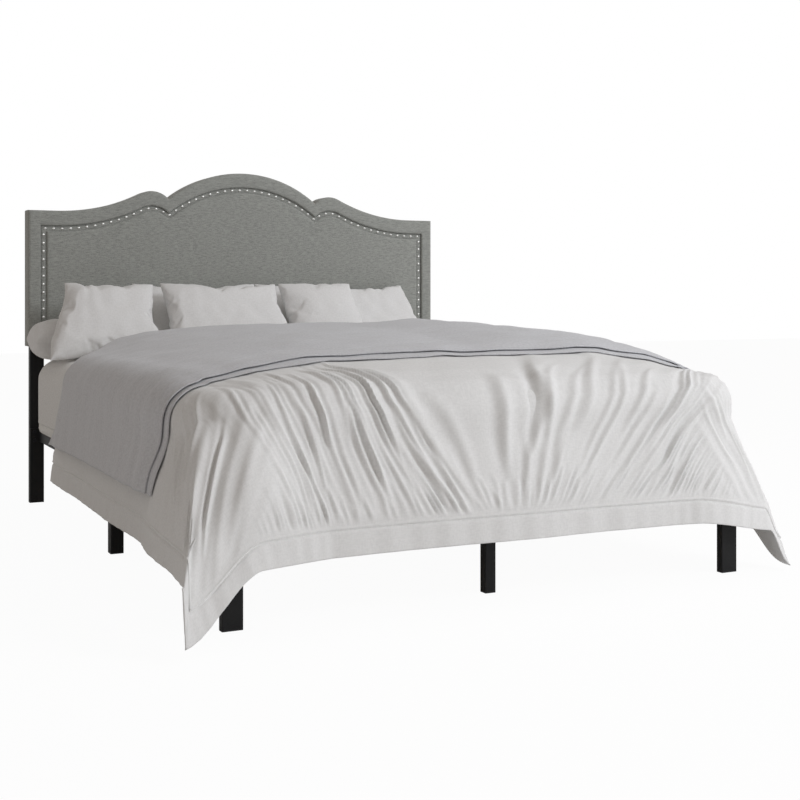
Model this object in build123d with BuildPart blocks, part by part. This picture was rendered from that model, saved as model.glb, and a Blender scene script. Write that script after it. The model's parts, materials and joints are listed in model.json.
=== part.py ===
"""Queen bed with an upholstered camelback headboard, steel frame, slats and bedding.

Millimetres, +Z up.  The origin is on the floor at the centre of the whole bed's
footprint, +X is to the right seen from the foot, and +Y points at the headboard.
"""
from build123d import *
from math import cos, radians, sin
import os

os.makedirs("parts", exist_ok=True)

# Working values
overrun = 20.0
soft_gap = 0.3

# Headboard
headboard_width = 1600.0
shoulder_height = 1058.0
crown_rise = 162.0
panel_bottom_height = 570.0
headboard_thickness = 75.0
notch_x = 292.0
notch_rise = 56.0
notch_round = 10.0
ear_x = 354.0
ear_rise = 83.0
ear_radius = 85.0
sweep_start_x = 700.0
cover_thickness = 1.5
border_pad_depth = 12.0
border_edge_round = 10.0
panel_thickness = 12.0
groove_width = 20.0
nail_side_inset = 54.0
nail_top_inset = 64.5
field_front_depth = 1.0
field_edge_round = 8.0
timber_width = 60.0
rim_width = 30.0
mid_rail_height = 800.0
dust_cover_inset = 3.0

# Decorative nails
nail_head_diameter = 11.5
nail_head_height = 4.2
nail_pitch = 29.5
nail_shank_diameter = 2.2
nail_shank_length = 13.0

# Headboard posts
post_width = 50.0
post_depth = 32.0
post_height = 950.0
post_side_inset = 18.0
tube_wall = 1.6
tube_corner_round = 3.0
plug_base_thickness = 3.0
plug_depth = 15.0

# Post bolts and tee nuts
post_bolt_diameter = 8.0
post_bolt_head_diameter = 16.0
post_bolt_head_height = 5.0
post_bolt_first_height = 640.0
post_bolt_spacing = 120.0
post_bolt_count = 3
post_bolt_end_gap = 2.0
tee_nut_barrel_diameter = 11.0
tee_nut_barrel_length = 9.0
tee_nut_flange_diameter = 22.0
tee_nut_flange_thickness = 1.5

# Steel bed frame
deck_height = 265.0
rail_height = 45.0
rail_width = 30.0
frame_width = 1500.0
head_rail_gap = 5.0
foot_leg_distance = 2054.0
beam_width = 30.0
beam_height = 30.0
ledge_width = 25.0
ledge_thickness = 3.0
bracket_thickness = 6.0
bracket_rim = 5.0
bracket_bolt_edge = 12.0
foot_leg_width = 50.0
foot_leg_depth = 25.0
foot_leg_spread = 1398.0
side_leg_width = 38.0
side_leg_depth = 40.0
side_leg_rail_inset = 10.0
middle_leg_distance = 1010.0
centre_leg_size = 30.0
centre_foot_leg_distance = 1965.0
leg_plate_thickness = 4.0
foot_leg_plate_length = 110.0
foot_leg_bolt_edge = 14.0
side_leg_plate_length = 84.0
centre_leg_plate_length = 74.0
plug_gap = 0.2
bolt_gap = 0.2

# Frame bolts and the nuts inside the tubes
frame_bolt_diameter = 8.0
frame_bolt_head_diameter = 13.0
frame_bolt_head_height = 4.0
frame_bolt_length = 14.0
frame_nut_diameter = 12.5
frame_nut_height = 5.0
plate_bolt_edge = 10.0

# Slats
slat_count = 11
slat_width = 80.0
slat_thickness = 15.0
slat_end_gap = 2.0
slat_end_margin = 30.0
slat_screw_diameter = 4.0
slat_screw_head_diameter = 8.0
slat_screw_length = 24.0

# Mattress and fitted sheet
mattress_width = 1554.0
mattress_length = 2028.0
mattress_thickness = 263.0
mattress_gap = 9.0
mattress_corner_round = 150.0
mattress_edge_round = 75.0
mattress_base_round = 17.0
sheet_thickness = 2.0
sheet_hem_rise = 36.0

# Duvet: heights, half widths and distances of its outer surface
duvet_side_thickness = 26.0
duvet_crown_rise = 104.0
duvet_shoulder_drop = 30.0
duvet_head_distance = 490.0
duvet_head_lean = 100.0
duvet_hem_height = 152.0
duvet_side_flare = 26.0
duvet_foot_flare = 34.0
duvet_corner_run = 230.0
duvet_tip_overhang = 59.7
duvet_tip_top_setback = 70.3
duvet_tip_inset = 18.0
duvet_tip_foot_inset = 16.0
duvet_tip_path_share = 0.7
duvet_left_tip_distance = 2263.0
duvet_left_tip_height = 23.0
duvet_right_tip_distance = 2111.0
duvet_right_tip_height = 12.0
duvet_tip_run = 105.0
duvet_fold_depth = 9.0
duvet_side_folds = 3
duvet_foot_folds = 4
duvet_crown_corner_share = 0.3
duvet_crown_fold_share = 0.06
# Share of the drop from the shoulder, then of the flare, of the fold depth and of the
# corner run
duvet_drop_shares = [(1.0, 1.0, 1.0, 0.6), (0.58, 0.62, 0.9, 0.7), (0.24, 0.25, 0.5, 0.85)]
# Share of the rise to the crown, then of the half width at the head, of the half
# width at the foot and of the length, each drawn in from the edge
duvet_crown_shares = [
    (0.00, 0.005, 0.005, 0.002),
    (0.18, 0.020, 0.020, 0.006),
    (0.34, 0.070, 0.080, 0.020),
    (0.50, 0.170, 0.240, 0.055),
    (0.66, 0.270, 0.420, 0.120),
    (0.82, 0.370, 0.620, 0.260),
    (0.94, 0.500, 0.780, 0.450),
    (1.00, 0.640, 0.900, 0.650),
]

# Coverlet laid double across the duvet
coverlet_layer = 8.0
coverlet_fold_depth = 5.0
coverlet_hem_height = 275.0
coverlet_foot_distance = 1850.0
coverlet_step = 38.0

# Pillows: name, centre, width, height, thickness, row
pillow_lean = 52.0
pillow_height = 330.0
pillow_thickness = 120.0
pillow_wall_gap = 6.0
pillow_row_gap = 1.0
pillow_corner = 22.0
flat_pillow_centre = -625.0
flat_pillow_width = 390.0
flat_pillow_depth = 220.0
flat_pillow_thickness = 134.0
flat_pillow_wall_gap = 20.0
back_left_pillow_centre = -205.0
back_left_pillow_width = 420.0
back_right_pillow_centre = 370.0
back_right_pillow_width = 660.0
front_left_pillow_centre = -590.0
front_left_pillow_width = 360.0
front_centre_pillow_centre = -150.0
front_centre_pillow_width = 440.0
front_right_pillow_centre = 226.0
front_right_pillow_width = 280.0
pillow_drawn_in_share = 0.05
# Share of the thickness either side of the seam, share of the seam's outline
pillow_level_shares = [(0.0, 1.0), (0.12, 0.97), (0.25, 0.90), (0.36, 0.77), (0.44, 0.58), (0.5, 0.30)]

# Worked-out places
rear_reach = headboard_thickness + post_depth + post_bolt_head_height
face_y = (duvet_left_tip_distance - rear_reach) / 2
half_board = headboard_width / 2
crown_height = shoulder_height + crown_rise
notch_height = shoulder_height + notch_rise
ear_height = shoulder_height + ear_rise
rail_bottom = deck_height - rail_height
rail_outer_x = frame_width / 2
rail_inner_x = rail_outer_x - rail_width
rail_centre_x = rail_outer_x - rail_width / 2
post_centre_x = half_board - post_side_inset - post_width / 2
frame_front_depth = border_pad_depth + panel_thickness
timber_depth = headboard_thickness - frame_front_depth - cover_thickness
skin = cover_thickness + soft_gap
rim_bottom = shoulder_height - skin - rim_width
timber_bottom = panel_bottom_height + skin
stile_centre_x = half_board - skin - timber_width / 2
rail_span = 2 * (stile_centre_x - timber_width / 2)
groove_outer_side = nail_side_inset - groove_width / 2
groove_outer_top = nail_top_inset - groove_width / 2
field_side = nail_side_inset + groove_width / 2
field_top = nail_top_inset + groove_width / 2
nail_seat_depth = border_pad_depth - cover_thickness
post_bolt_heights = [post_bolt_first_height + i * post_bolt_spacing for i in range(post_bolt_count)]
slat_bottom = deck_height - slat_thickness
leg_top = rail_bottom - leg_plate_thickness
head_rail_centre = head_rail_gap + rail_width / 2
foot_rail_centre = foot_leg_distance - rail_width / 2
rail_centre_z = rail_bottom + rail_height / 2
bracket_width = post_centre_x + post_width / 2 - rail_inner_x
bracket_centre_x = rail_inner_x + bracket_width / 2
bracket_height = rail_height + 2 * bracket_rim
bracket_bolt_x = (rail_outer_x + post_centre_x + post_width / 2) / 2
bracket_bolt_heights = [
    rail_centre_z + side * (bracket_height / 2 - bracket_bolt_edge) for side in (-1, 1)
]
bracket_front_depth = headboard_thickness - bracket_thickness
foot_leg_x = foot_leg_spread / 2
foot_leg_centre = foot_leg_distance - foot_leg_depth / 2
side_leg_x = rail_outer_x - side_leg_rail_inset - side_leg_width / 2
mattress_bottom = deck_height + soft_gap
mattress_top = mattress_bottom + mattress_thickness
mattress_centre = mattress_gap + mattress_length / 2
sheet_top = mattress_top + sheet_thickness
bedding_half = mattress_width / 2 + sheet_thickness + soft_gap
bedding_end = mattress_gap + mattress_length + sheet_thickness + soft_gap
duvet_half = bedding_half + duvet_side_thickness
duvet_tip_reach = duvet_half + duvet_tip_overhang
duvet_tip_top_reach = duvet_half - duvet_tip_top_setback
duvet_foot = bedding_end + duvet_side_thickness
duvet_shoulder = mattress_top - duvet_shoulder_drop
duvet_crown = sheet_top + soft_gap + duvet_crown_rise
slat_run = foot_rail_centre - rail_width / 2 - head_rail_centre - rail_width / 2
slat_pitch = (slat_run - 2 * slat_end_margin - slat_width) / (slat_count - 1)
slat_first = head_rail_centre + rail_width / 2 + slat_end_margin + slat_width / 2
slat_distances = [slat_first + i * slat_pitch for i in range(slat_count)]
slat_screw_x = rail_inner_x - ledge_width / 2


def wall_plane(depth):
    """Upright plane this far behind the headboard's face, facing the foot."""
    return Plane.XZ.offset(-(face_y + depth))


def export(piece, name):
    """Label a finished piece and write its file."""
    piece.part.label = name
    export_step(piece.part, f"parts/{name}.step")


def camelback_half(side_inset, top_inset, bottom):
    """Right half of the open outline, from the crown down to the given height."""
    half = half_board - side_inset
    shoulder = shoulder_height - top_inset
    run = sweep_start_x - ear_x
    rise = shoulder_height - ear_height + ear_radius
    radius = (run**2 + rise**2 - ear_radius**2) / (2 * (ear_radius - rise))
    ear_centre = Vector(ear_x, ear_height - top_inset - ear_radius)
    sweep_centre = Vector(sweep_start_x, shoulder + radius)
    toward = (sweep_centre - ear_centre).normalized()
    meet = ear_centre + toward * ear_radius
    sweep_middle = sweep_centre - (toward + Vector(0, 1)).normalized() * radius
    crown = crown_height - top_inset
    notch = Vector(notch_x, notch_height - top_inset)
    crown_drop = crown - notch.Y
    crown_radius = (notch.X**2 + crown_drop**2) / (2 * crown_drop)
    with BuildLine() as line:
        RadiusArc((0, crown), notch, crown_radius)
        ThreePointArc(notch, (ear_x, ear_height - top_inset), meet)
        ThreePointArc(meet, sweep_middle, (sweep_start_x, shoulder))
        Polyline((sweep_start_x, shoulder), (half, shoulder), (half, bottom))
    return line


def camelback_face(plane, side_inset, top_inset, bottom_inset):
    """Face inside the headboard's outline, drawn in from its edges."""
    bottom = panel_bottom_height + bottom_inset
    with BuildSketch(plane) as face:
        with BuildLine():
            add(camelback_half(side_inset, top_inset, bottom).line)
            Line((half_board - side_inset, bottom), (0, bottom))
            Line((0, bottom), (0, crown_height - top_inset))
        make_face()
        mirror(about=Plane.YZ)
        notches = face.vertices().filter_by(lambda v: abs(abs(v.X) - notch_x) < soft_gap)
        fillet(notches, notch_round)
    return face.sketch


def padded_form(side_inset, top_inset, bottom_inset, rear_depth, front_depth, rounding):
    """Slab inside the headboard's outline whose front edges are rounded."""
    with BuildPart() as slab:
        extrude(
            camelback_face(wall_plane(rear_depth), side_inset, top_inset, bottom_inset),
            amount=rear_depth - front_depth,
        )
        fillet(slab.faces().sort_by(Axis.Y)[0].edges(), rounding)
    return slab.part


def nail_spots():
    """Places of the nails in the headboard's plane, evenly spaced along the groove."""
    half = camelback_half(nail_side_inset, nail_top_inset, panel_bottom_height).wire()
    spaces = round(half.length / nail_pitch)
    right = [half @ ((i + 0.5) / spaces) for i in range(spaces)]
    return [(side * spot.X, spot.Y) for spot in right for side in (-1, 1)]


def stud(plane, places, radius, length):
    """Round bars that grow from the plane at the given places."""
    with BuildSketch(plane) as ends:
        with Locations(*places):
            Circle(radius)
    return extrude(ends.sketch, amount=length, mode=Mode.PRIVATE)


# Back panel: plywood cut to the camelback outline, bored for the nails
with BuildPart() as headboard_back_panel:
    extrude(camelback_face(wall_plane(frame_front_depth), skin, skin, skin), amount=panel_thickness)
    with BuildSketch(wall_plane(border_pad_depth)):
        with Locations(*nail_spots()):
            Circle(nail_shank_diameter / 2)
    extrude(amount=-nail_shank_length, mode=Mode.SUBTRACT)
export(headboard_back_panel, "headboard_back_panel")

# Arched rim behind the panel's top edge: plywood strips glued up to the frame's depth
with BuildPart() as headboard_arch_rim:
    rim_plane = wall_plane(frame_front_depth + timber_depth)
    extrude(camelback_face(rim_plane, skin, skin, skin), amount=timber_depth)
    extrude(
        camelback_face(rim_plane, skin + rim_width, skin + rim_width, skin),
        amount=timber_depth,
        mode=Mode.SUBTRACT,
    )
    split(bisect_by=Plane.XY.offset(rim_bottom), keep=Keep.TOP)
export(headboard_arch_rim, "headboard_arch_rim")


def timber(width, centre_x, bottom, top):
    """Softwood member of the headboard's frame, standing or lying between two heights."""
    with BuildPart() as member:
        with BuildSketch(wall_plane(frame_front_depth + timber_depth)):
            with Locations((centre_x, (bottom + top) / 2)):
                Rectangle(width, top - bottom)
        extrude(amount=timber_depth)
    return member


# Headboard frame: stiles bored for the post bolts and their tee nuts, and cross rails
panel_rear = wall_plane(frame_front_depth)
for side, hand in ((-1, "left"), (1, "right")):
    places = [(side * post_centre_x, height) for height in post_bolt_heights]
    with BuildPart() as stile:
        add(timber(timber_width, side * stile_centre_x, timber_bottom, rim_bottom).part)
        for radius, depth in (
            (post_bolt_diameter / 2 + bolt_gap, timber_depth),
            (tee_nut_barrel_diameter / 2 + bolt_gap, tee_nut_flange_thickness + tee_nut_barrel_length),
            (tee_nut_flange_diameter / 2 + bolt_gap, tee_nut_flange_thickness),
        ):
            add(stud(panel_rear, places, radius, -depth), mode=Mode.SUBTRACT)
    export(stile, f"headboard_stile_{hand}")

for name, bottom in (
    ("headboard_bottom_rail", timber_bottom),
    ("headboard_mid_rail", mid_rail_height - timber_width / 2),
    ("headboard_top_rail", rim_bottom - timber_width),
):
    export(timber(rail_span, 0, bottom, bottom + timber_width), name)
with BuildPart() as crown_brace:
    add(timber(timber_width, 0, rim_bottom, crown_height).part)
    extrude(
        camelback_face(rim_plane, skin + rim_width, skin + rim_width, skin),
        amount=timber_depth,
        mode=Mode.INTERSECT,
    )
export(crown_brace, "headboard_crown_brace")

# Border foam: a padded band round the sides and top, open over the field
border_rib_side = groove_outer_side - cover_thickness
border_rib_top = groove_outer_top - cover_thickness
with BuildPart() as headboard_border_foam:
    add(padded_form(skin, skin, skin, border_pad_depth, skin, border_edge_round - skin))
    extrude(
        camelback_face(
            wall_plane(border_pad_depth), border_rib_side - soft_gap, border_rib_top - soft_gap, -overrun
        ),
        amount=border_pad_depth,
        mode=Mode.SUBTRACT,
    )
export(headboard_border_foam, "headboard_border_foam")

# Border cover: linen wrapped over the foam, round the edges and down into the groove
cover_rear = headboard_thickness - cover_thickness
with BuildPart() as headboard_border_cover:
    add(padded_form(0, 0, 0, cover_rear, 0, border_edge_round))
    add(
        padded_form(
            cover_thickness,
            cover_thickness,
            cover_thickness,
            cover_rear,
            cover_thickness,
            border_edge_round - cover_thickness,
        ),
        mode=Mode.SUBTRACT,
    )
    extrude(
        camelback_face(wall_plane(border_pad_depth), border_rib_side, border_rib_top, cover_thickness),
        amount=border_pad_depth - cover_thickness / 2,
    )
    extrude(
        camelback_face(wall_plane(border_pad_depth), groove_outer_side, groove_outer_top, cover_thickness),
        amount=border_pad_depth + overrun,
        mode=Mode.SUBTRACT,
    )
export(headboard_border_cover, "headboard_border_cover")

# Field foam and its cover, whose flange lines the groove under the nails
with BuildPart() as headboard_field_foam:
    add(
        padded_form(
            field_side + skin,
            field_top + skin,
            2 * skin,
            border_pad_depth,
            field_front_depth + skin,
            field_edge_round - cover_thickness,
        )
    )
export(headboard_field_foam, "headboard_field_foam")

with BuildPart() as headboard_field_cover:
    add(
        padded_form(field_side, field_top, skin, border_pad_depth, field_front_depth, field_edge_round)
    )
    extrude(
        camelback_face(
            wall_plane(border_pad_depth), groove_outer_side + soft_gap, groove_outer_top + soft_gap, skin
        ),
        amount=cover_thickness,
    )
    add(
        padded_form(
            field_side + cover_thickness,
            field_top + cover_thickness,
            skin + cover_thickness,
            border_pad_depth,
            field_front_depth + cover_thickness,
            field_edge_round - cover_thickness,
        ),
        mode=Mode.SUBTRACT,
    )
    add(
        stud(wall_plane(border_pad_depth), nail_spots(), nail_shank_diameter / 2, overrun),
        mode=Mode.SUBTRACT,
    )
export(headboard_field_cover, "headboard_field_cover")

# Decorative nails: one domed head and shank, repeated along the groove
nail_radius = nail_head_diameter / 2
dome_radius = (nail_radius**2 + nail_head_height**2) / (2 * nail_head_height)
with BuildPart() as nail:
    with Locations((0, 0, nail_head_height - dome_radius)):
        Sphere(dome_radius)
    split(bisect_by=Plane.XY, keep=Keep.TOP)
    with BuildSketch(Plane.XY):
        Circle(nail_shank_diameter / 2)
    extrude(amount=-nail_shank_length)

with BuildPart(wall_plane(nail_seat_depth)) as headboard_nails:
    with Locations(*nail_spots()):
        add(nail.part)
export(headboard_nails, "headboard_nails")

# Dust cover: black cloth over the headboard's back, holed for the post bolts
post_bolt_places = [
    (side * post_centre_x, height) for side in (-1, 1) for height in post_bolt_heights
]
with BuildPart() as headboard_dust_cover:
    extrude(
        camelback_face(
            wall_plane(headboard_thickness), dust_cover_inset, dust_cover_inset, dust_cover_inset
        ),
        amount=cover_thickness,
    )
    add(
        stud(
            wall_plane(headboard_thickness),
            post_bolt_places,
            post_bolt_diameter / 2 + bolt_gap,
            cover_thickness,
        ),
        mode=Mode.SUBTRACT,
    )
export(headboard_dust_cover, "headboard_dust_cover")


def tube(plane, width, depth, length):
    """Square-section steel tube that grows from the plane."""
    with BuildPart() as bar:
        with BuildSketch(plane):
            RectangleRounded(width, depth, tube_corner_round)
            RectangleRounded(
                width - 2 * tube_wall,
                depth - 2 * tube_wall,
                tube_corner_round - tube_wall,
                mode=Mode.SUBTRACT,
            )
        extrude(amount=length)
    return bar.part


def end_plug(plane, width, depth):
    """Plastic plug for a tube's end: a base as wide as the tube and a stem inside it."""
    inset = 2 * (tube_wall + plug_gap)
    with BuildPart() as plug:
        with BuildSketch(plane):
            RectangleRounded(width, depth, tube_corner_round)
        extrude(amount=plug_base_thickness)
        with BuildSketch(plane.offset(plug_base_thickness)):
            RectangleRounded(width - inset, depth - inset, tube_corner_round - tube_wall)
        extrude(amount=plug_depth)
    return plug.part


def floor_plane(x, distance, height):
    """Level plane at a place in front of the headboard's face."""
    return Plane((x, face_y - distance, height))


# Headboard posts: steel tubes from the floor to behind the panel, bolted through
post_distance = -headboard_thickness - post_depth / 2
bracket_places = [(bracket_bolt_x, height) for height in bracket_bolt_heights]
for side, hand in ((-1, "left"), (1, "right")):
    with BuildPart() as post:
        add(
            tube(
                floor_plane(side * post_centre_x, post_distance, plug_base_thickness),
                post_width,
                post_depth,
                post_height - plug_base_thickness,
            )
        )
        add(
            stud(
                wall_plane(headboard_thickness + post_depth),
                [(side * post_centre_x, height) for height in post_bolt_heights],
                post_bolt_diameter / 2 + bolt_gap,
                post_depth,
            ),
            mode=Mode.SUBTRACT,
        )
        add(
            stud(
                wall_plane(headboard_thickness),
                [(side * x, height) for x, height in bracket_places],
                frame_bolt_diameter / 2 + bolt_gap,
                -post_depth / 2,
            ),
            mode=Mode.SUBTRACT,
        )
    export(post, f"headboard_post_{hand}")

# Post bolts, and the tee nuts that they screw into behind the panel
post_bolt_length = headboard_thickness + post_depth - frame_front_depth - post_bolt_end_gap
post_rear = wall_plane(headboard_thickness + post_depth)
with BuildPart() as post_bolts:
    add(stud(post_rear, post_bolt_places, post_bolt_head_diameter / 2, -post_bolt_head_height))
    add(stud(post_rear, post_bolt_places, post_bolt_diameter / 2, post_bolt_length))
export(post_bolts, "post_bolts")

tee_nut_length = tee_nut_flange_thickness + tee_nut_barrel_length
with BuildPart() as post_tee_nuts:
    add(stud(panel_rear, post_bolt_places, tee_nut_flange_diameter / 2, -tee_nut_flange_thickness))
    add(stud(panel_rear, post_bolt_places, tee_nut_barrel_diameter / 2, -tee_nut_length))
    add(
        stud(panel_rear, post_bolt_places, post_bolt_diameter / 2 + bolt_gap, -tee_nut_length),
        mode=Mode.SUBTRACT,
    )
export(post_tee_nuts, "post_tee_nuts")

# Legs: section, plate, and how far the leg and its plate stand from the origin
foot_plate_x = foot_leg_x + foot_leg_width / 2 - foot_leg_plate_length / 2
leg_kinds = {
    "foot_leg": (foot_leg_width, foot_leg_depth, foot_leg_plate_length, rail_width),
    "side_leg": (side_leg_width, side_leg_depth, rail_width, side_leg_plate_length),
    "centre_leg": (centre_leg_size, centre_leg_size, beam_width, centre_leg_plate_length),
}
leg_places = {
    "foot_leg_left": ("foot_leg", -foot_leg_x, foot_leg_centre, -foot_plate_x, foot_rail_centre),
    "foot_leg_right": ("foot_leg", foot_leg_x, foot_leg_centre, foot_plate_x, foot_rail_centre),
    "side_leg_left": ("side_leg", -side_leg_x, middle_leg_distance, -rail_centre_x, middle_leg_distance),
    "side_leg_right": ("side_leg", side_leg_x, middle_leg_distance, rail_centre_x, middle_leg_distance),
    "centre_leg_foot": ("centre_leg", 0, centre_foot_leg_distance, 0, centre_foot_leg_distance),
    "centre_leg_middle": ("centre_leg", 0, middle_leg_distance, 0, middle_leg_distance),
}


def plate_bolts(kind, leg_x, plate_x, plate_distance):
    """Places of the two bolts of a leg's top plate."""
    width, depth, plate_width, plate_depth = leg_kinds[kind]
    if plate_width > plate_depth:
        side = 1 if leg_x > 0 else -1
        inner_end = plate_x - side * (plate_width / 2 - foot_leg_bolt_edge)
        beside_leg = leg_x - side * (width / 2 + foot_leg_bolt_edge)
        return [(x, face_y - plate_distance) for x in (inner_end, beside_leg)]
    reach = plate_depth / 2 - plate_bolt_edge
    return [(plate_x, face_y - plate_distance + step) for step in (-reach, reach)]


frame_bolt_places = []
for name, (kind, leg_x, leg_distance, plate_x, plate_distance) in leg_places.items():
    width, depth, plate_width, plate_depth = leg_kinds[kind]
    bolt_places = plate_bolts(kind, leg_x, plate_x, plate_distance)
    frame_bolt_places += bolt_places
    leg_plane = floor_plane(leg_x, leg_distance, plug_base_thickness)
    with BuildPart() as leg:
        add(tube(leg_plane, width, depth, leg_top - plug_base_thickness))
        with BuildSketch(Plane.XY.offset(leg_top)):
            with Locations((plate_x, face_y - plate_distance)):
                Rectangle(plate_width, plate_depth)
            with Locations((leg_x, face_y - leg_distance)):
                Rectangle(width, depth)
        extrude(amount=leg_plate_thickness)
        add(
            stud(
                Plane.XY.offset(leg_top),
                bolt_places,
                frame_bolt_diameter / 2 + bolt_gap,
                leg_plate_thickness,
            ),
            mode=Mode.SUBTRACT,
        )
    export(leg, name)

# Plugs: feet in the floor ends of the posts and legs, caps in the other open ends
with BuildPart() as leg_glides:
    for side in (-1, 1):
        add(end_plug(floor_plane(side * post_centre_x, post_distance, 0), post_width, post_depth))
    for kind, leg_x, leg_distance, plate_x, plate_distance in leg_places.values():
        add(end_plug(floor_plane(leg_x, leg_distance, 0), leg_kinds[kind][0], leg_kinds[kind][1]))
export(leg_glides, "leg_glides")

with BuildPart() as tube_caps:
    for side in (-1, 1):
        cap_plane = Plane(
            (side * post_centre_x, face_y - post_distance, post_height + plug_base_thickness),
            x_dir=(1, 0, 0),
            z_dir=(0, 0, -1),
        )
        add(end_plug(cap_plane, post_width, post_depth))
        rail_end = Plane(
            (side * rail_centre_x, face_y - foot_leg_distance, rail_centre_z),
            x_dir=(1, 0, 0),
            z_dir=(0, 1, 0),
        )
        add(end_plug(rail_end, rail_width, rail_height))
export(tube_caps, "tube_caps")

# Side rails: steel tubes with a welded ledge for the slats
rail_length = foot_leg_distance - plug_base_thickness + bracket_front_depth
ledge_length = foot_rail_centre - head_rail_centre - rail_width
rail_bolt_places = [place for place in frame_bolt_places if abs(place[0]) == rail_centre_x]
for side, hand in ((-1, "left"), (1, "right")):
    with BuildPart() as side_rail:
        rail_plane = Plane(
            (side * rail_centre_x, face_y - foot_leg_distance + plug_base_thickness, rail_centre_z),
            x_dir=(1, 0, 0),
            z_dir=(0, 1, 0),
        )
        add(tube(rail_plane, rail_width, rail_height, rail_length))
        with BuildSketch(Plane.XY.offset(slat_bottom - ledge_thickness)):
            with Locations(
                (
                    side * (rail_inner_x - ledge_width / 2),
                    face_y - (head_rail_centre + foot_rail_centre) / 2,
                )
            ):
                Rectangle(ledge_width, ledge_length)
        extrude(amount=ledge_thickness)
        add(
            stud(
                Plane.XY.offset(rail_bottom),
                rail_bolt_places,
                frame_bolt_diameter / 2 + bolt_gap,
                tube_wall,
            ),
            mode=Mode.SUBTRACT,
        )
        add(
            stud(
                Plane.XY.offset(slat_bottom - ledge_thickness),
                [(side * slat_screw_x, face_y - distance) for distance in slat_distances],
                slat_screw_diameter / 2 + bolt_gap,
                ledge_thickness,
            ),
            mode=Mode.SUBTRACT,
        )
    export(side_rail, f"side_rail_{hand}")

    with BuildPart() as bracket:
        with BuildSketch(wall_plane(headboard_thickness)):
            with Locations((side * bracket_centre_x, rail_centre_z)):
                Rectangle(bracket_width, bracket_height)
            with Locations(*[(side * x, height) for x, height in bracket_places]):
                Circle(frame_bolt_diameter / 2 + bolt_gap, mode=Mode.SUBTRACT)
        extrude(amount=bracket_thickness)
    export(bracket, f"rail_bracket_{hand}")


def cross_tube(distance, name, bolt_places):
    """Steel tube across the bed between the side rails, bored for a leg's bolts."""
    start = Plane(
        (-rail_inner_x, face_y - distance, rail_centre_z), x_dir=(0, 1, 0), z_dir=(1, 0, 0)
    )
    with BuildPart() as cross:
        add(tube(start, rail_width, rail_height, 2 * rail_inner_x))
        if bolt_places:
            add(
                stud(
                    Plane.XY.offset(rail_bottom),
                    bolt_places,
                    frame_bolt_diameter / 2 + bolt_gap,
                    tube_wall,
                ),
                mode=Mode.SUBTRACT,
            )
    export(cross, name)


foot_bolt_places = [place for place in frame_bolt_places if place[1] == face_y - foot_rail_centre]
cross_tube(head_rail_centre, "head_rail", [])
cross_tube(foot_rail_centre, "foot_rail", foot_bolt_places)

# Centre beam: steel tube from the head rail to the foot rail, under the slats
beam_places = [place for place in frame_bolt_places if place[0] == 0]
beam_start = Plane(
    (0, face_y - foot_rail_centre + rail_width / 2, rail_bottom + beam_height / 2),
    x_dir=(1, 0, 0),
    z_dir=(0, 1, 0),
)
with BuildPart() as centre_beam:
    add(tube(beam_start, beam_width, beam_height, ledge_length))
    add(
        stud(Plane.XY.offset(rail_bottom), beam_places, frame_bolt_diameter / 2 + bolt_gap, tube_wall),
        mode=Mode.SUBTRACT,
    )
export(centre_beam, "centre_beam")

# Leg bolts with round heads under the plates, and their nuts inside the tubes
plate_plane = Plane.XY.offset(leg_top)
with BuildPart() as leg_bolts:
    add(stud(plate_plane, frame_bolt_places, frame_bolt_head_diameter / 2, -frame_bolt_head_height))
    add(stud(plate_plane, frame_bolt_places, frame_bolt_diameter / 2, frame_bolt_length))
export(leg_bolts, "leg_bolts")


def hex_nuts(plane, places, height):
    """Hexagon nuts bored for the frame's bolts, growing from the plane."""
    with BuildPart() as nuts:
        with BuildSketch(plane):
            with Locations(*places):
                RegularPolygon(frame_nut_diameter / 2, 6)
                Circle(frame_bolt_diameter / 2 + bolt_gap, mode=Mode.SUBTRACT)
        extrude(amount=height)
    return nuts


leg_nut_plane = Plane.XY.offset(rail_bottom + tube_wall)
export(hex_nuts(leg_nut_plane, frame_bolt_places, frame_nut_height), "leg_bolt_nuts")

# Bracket bolts, and their nuts inside the posts
both_bracket_places = [(side * x, height) for side in (-1, 1) for x, height in bracket_places]
bracket_plane = wall_plane(bracket_front_depth)
with BuildPart() as bracket_bolts:
    add(stud(bracket_plane, both_bracket_places, frame_bolt_head_diameter / 2, frame_bolt_head_height))
    add(stud(bracket_plane, both_bracket_places, frame_bolt_diameter / 2, -frame_bolt_length))
export(bracket_bolts, "bracket_bolts")

bracket_nut_plane = wall_plane(headboard_thickness + tube_wall)
export(hex_nuts(bracket_nut_plane, both_bracket_places, -frame_nut_height), "bracket_nuts")

# Slats: pine boards with a countersunk screw into the ledge at each end
slat_half = rail_inner_x - slat_end_gap
for index, distance in enumerate(slat_distances, start=1):
    screw_places = [(side * slat_screw_x, face_y - distance) for side in (-1, 1)]
    with BuildPart() as slat:
        with BuildSketch(Plane.XY.offset(slat_bottom)):
            with Locations((0, face_y - distance)):
                Rectangle(2 * slat_half, slat_width)
        extrude(amount=slat_thickness)
        with Locations(*[(x, y, deck_height) for x, y in screw_places]):
            CounterSinkHole(
                slat_screw_diameter / 2 + bolt_gap, slat_screw_head_diameter / 2 + bolt_gap, slat_thickness
            )
    export(slat, f"slat_{index:02d}")

deck_plane = Plane.XY.offset(deck_height)
slat_screw_places = [
    (side * slat_screw_x, face_y - distance) for distance in slat_distances for side in (-1, 1)
]
with BuildPart() as slat_screws:
    add(stud(deck_plane, slat_screw_places, slat_screw_diameter / 2, -slat_screw_length))
    with BuildSketch(deck_plane):
        with Locations(*slat_screw_places):
            Circle(slat_screw_head_diameter / 2)
    extrude(amount=-(slat_screw_head_diameter - slat_screw_diameter) / 2, taper=45)
export(slat_screws, "slat_screws")


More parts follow.
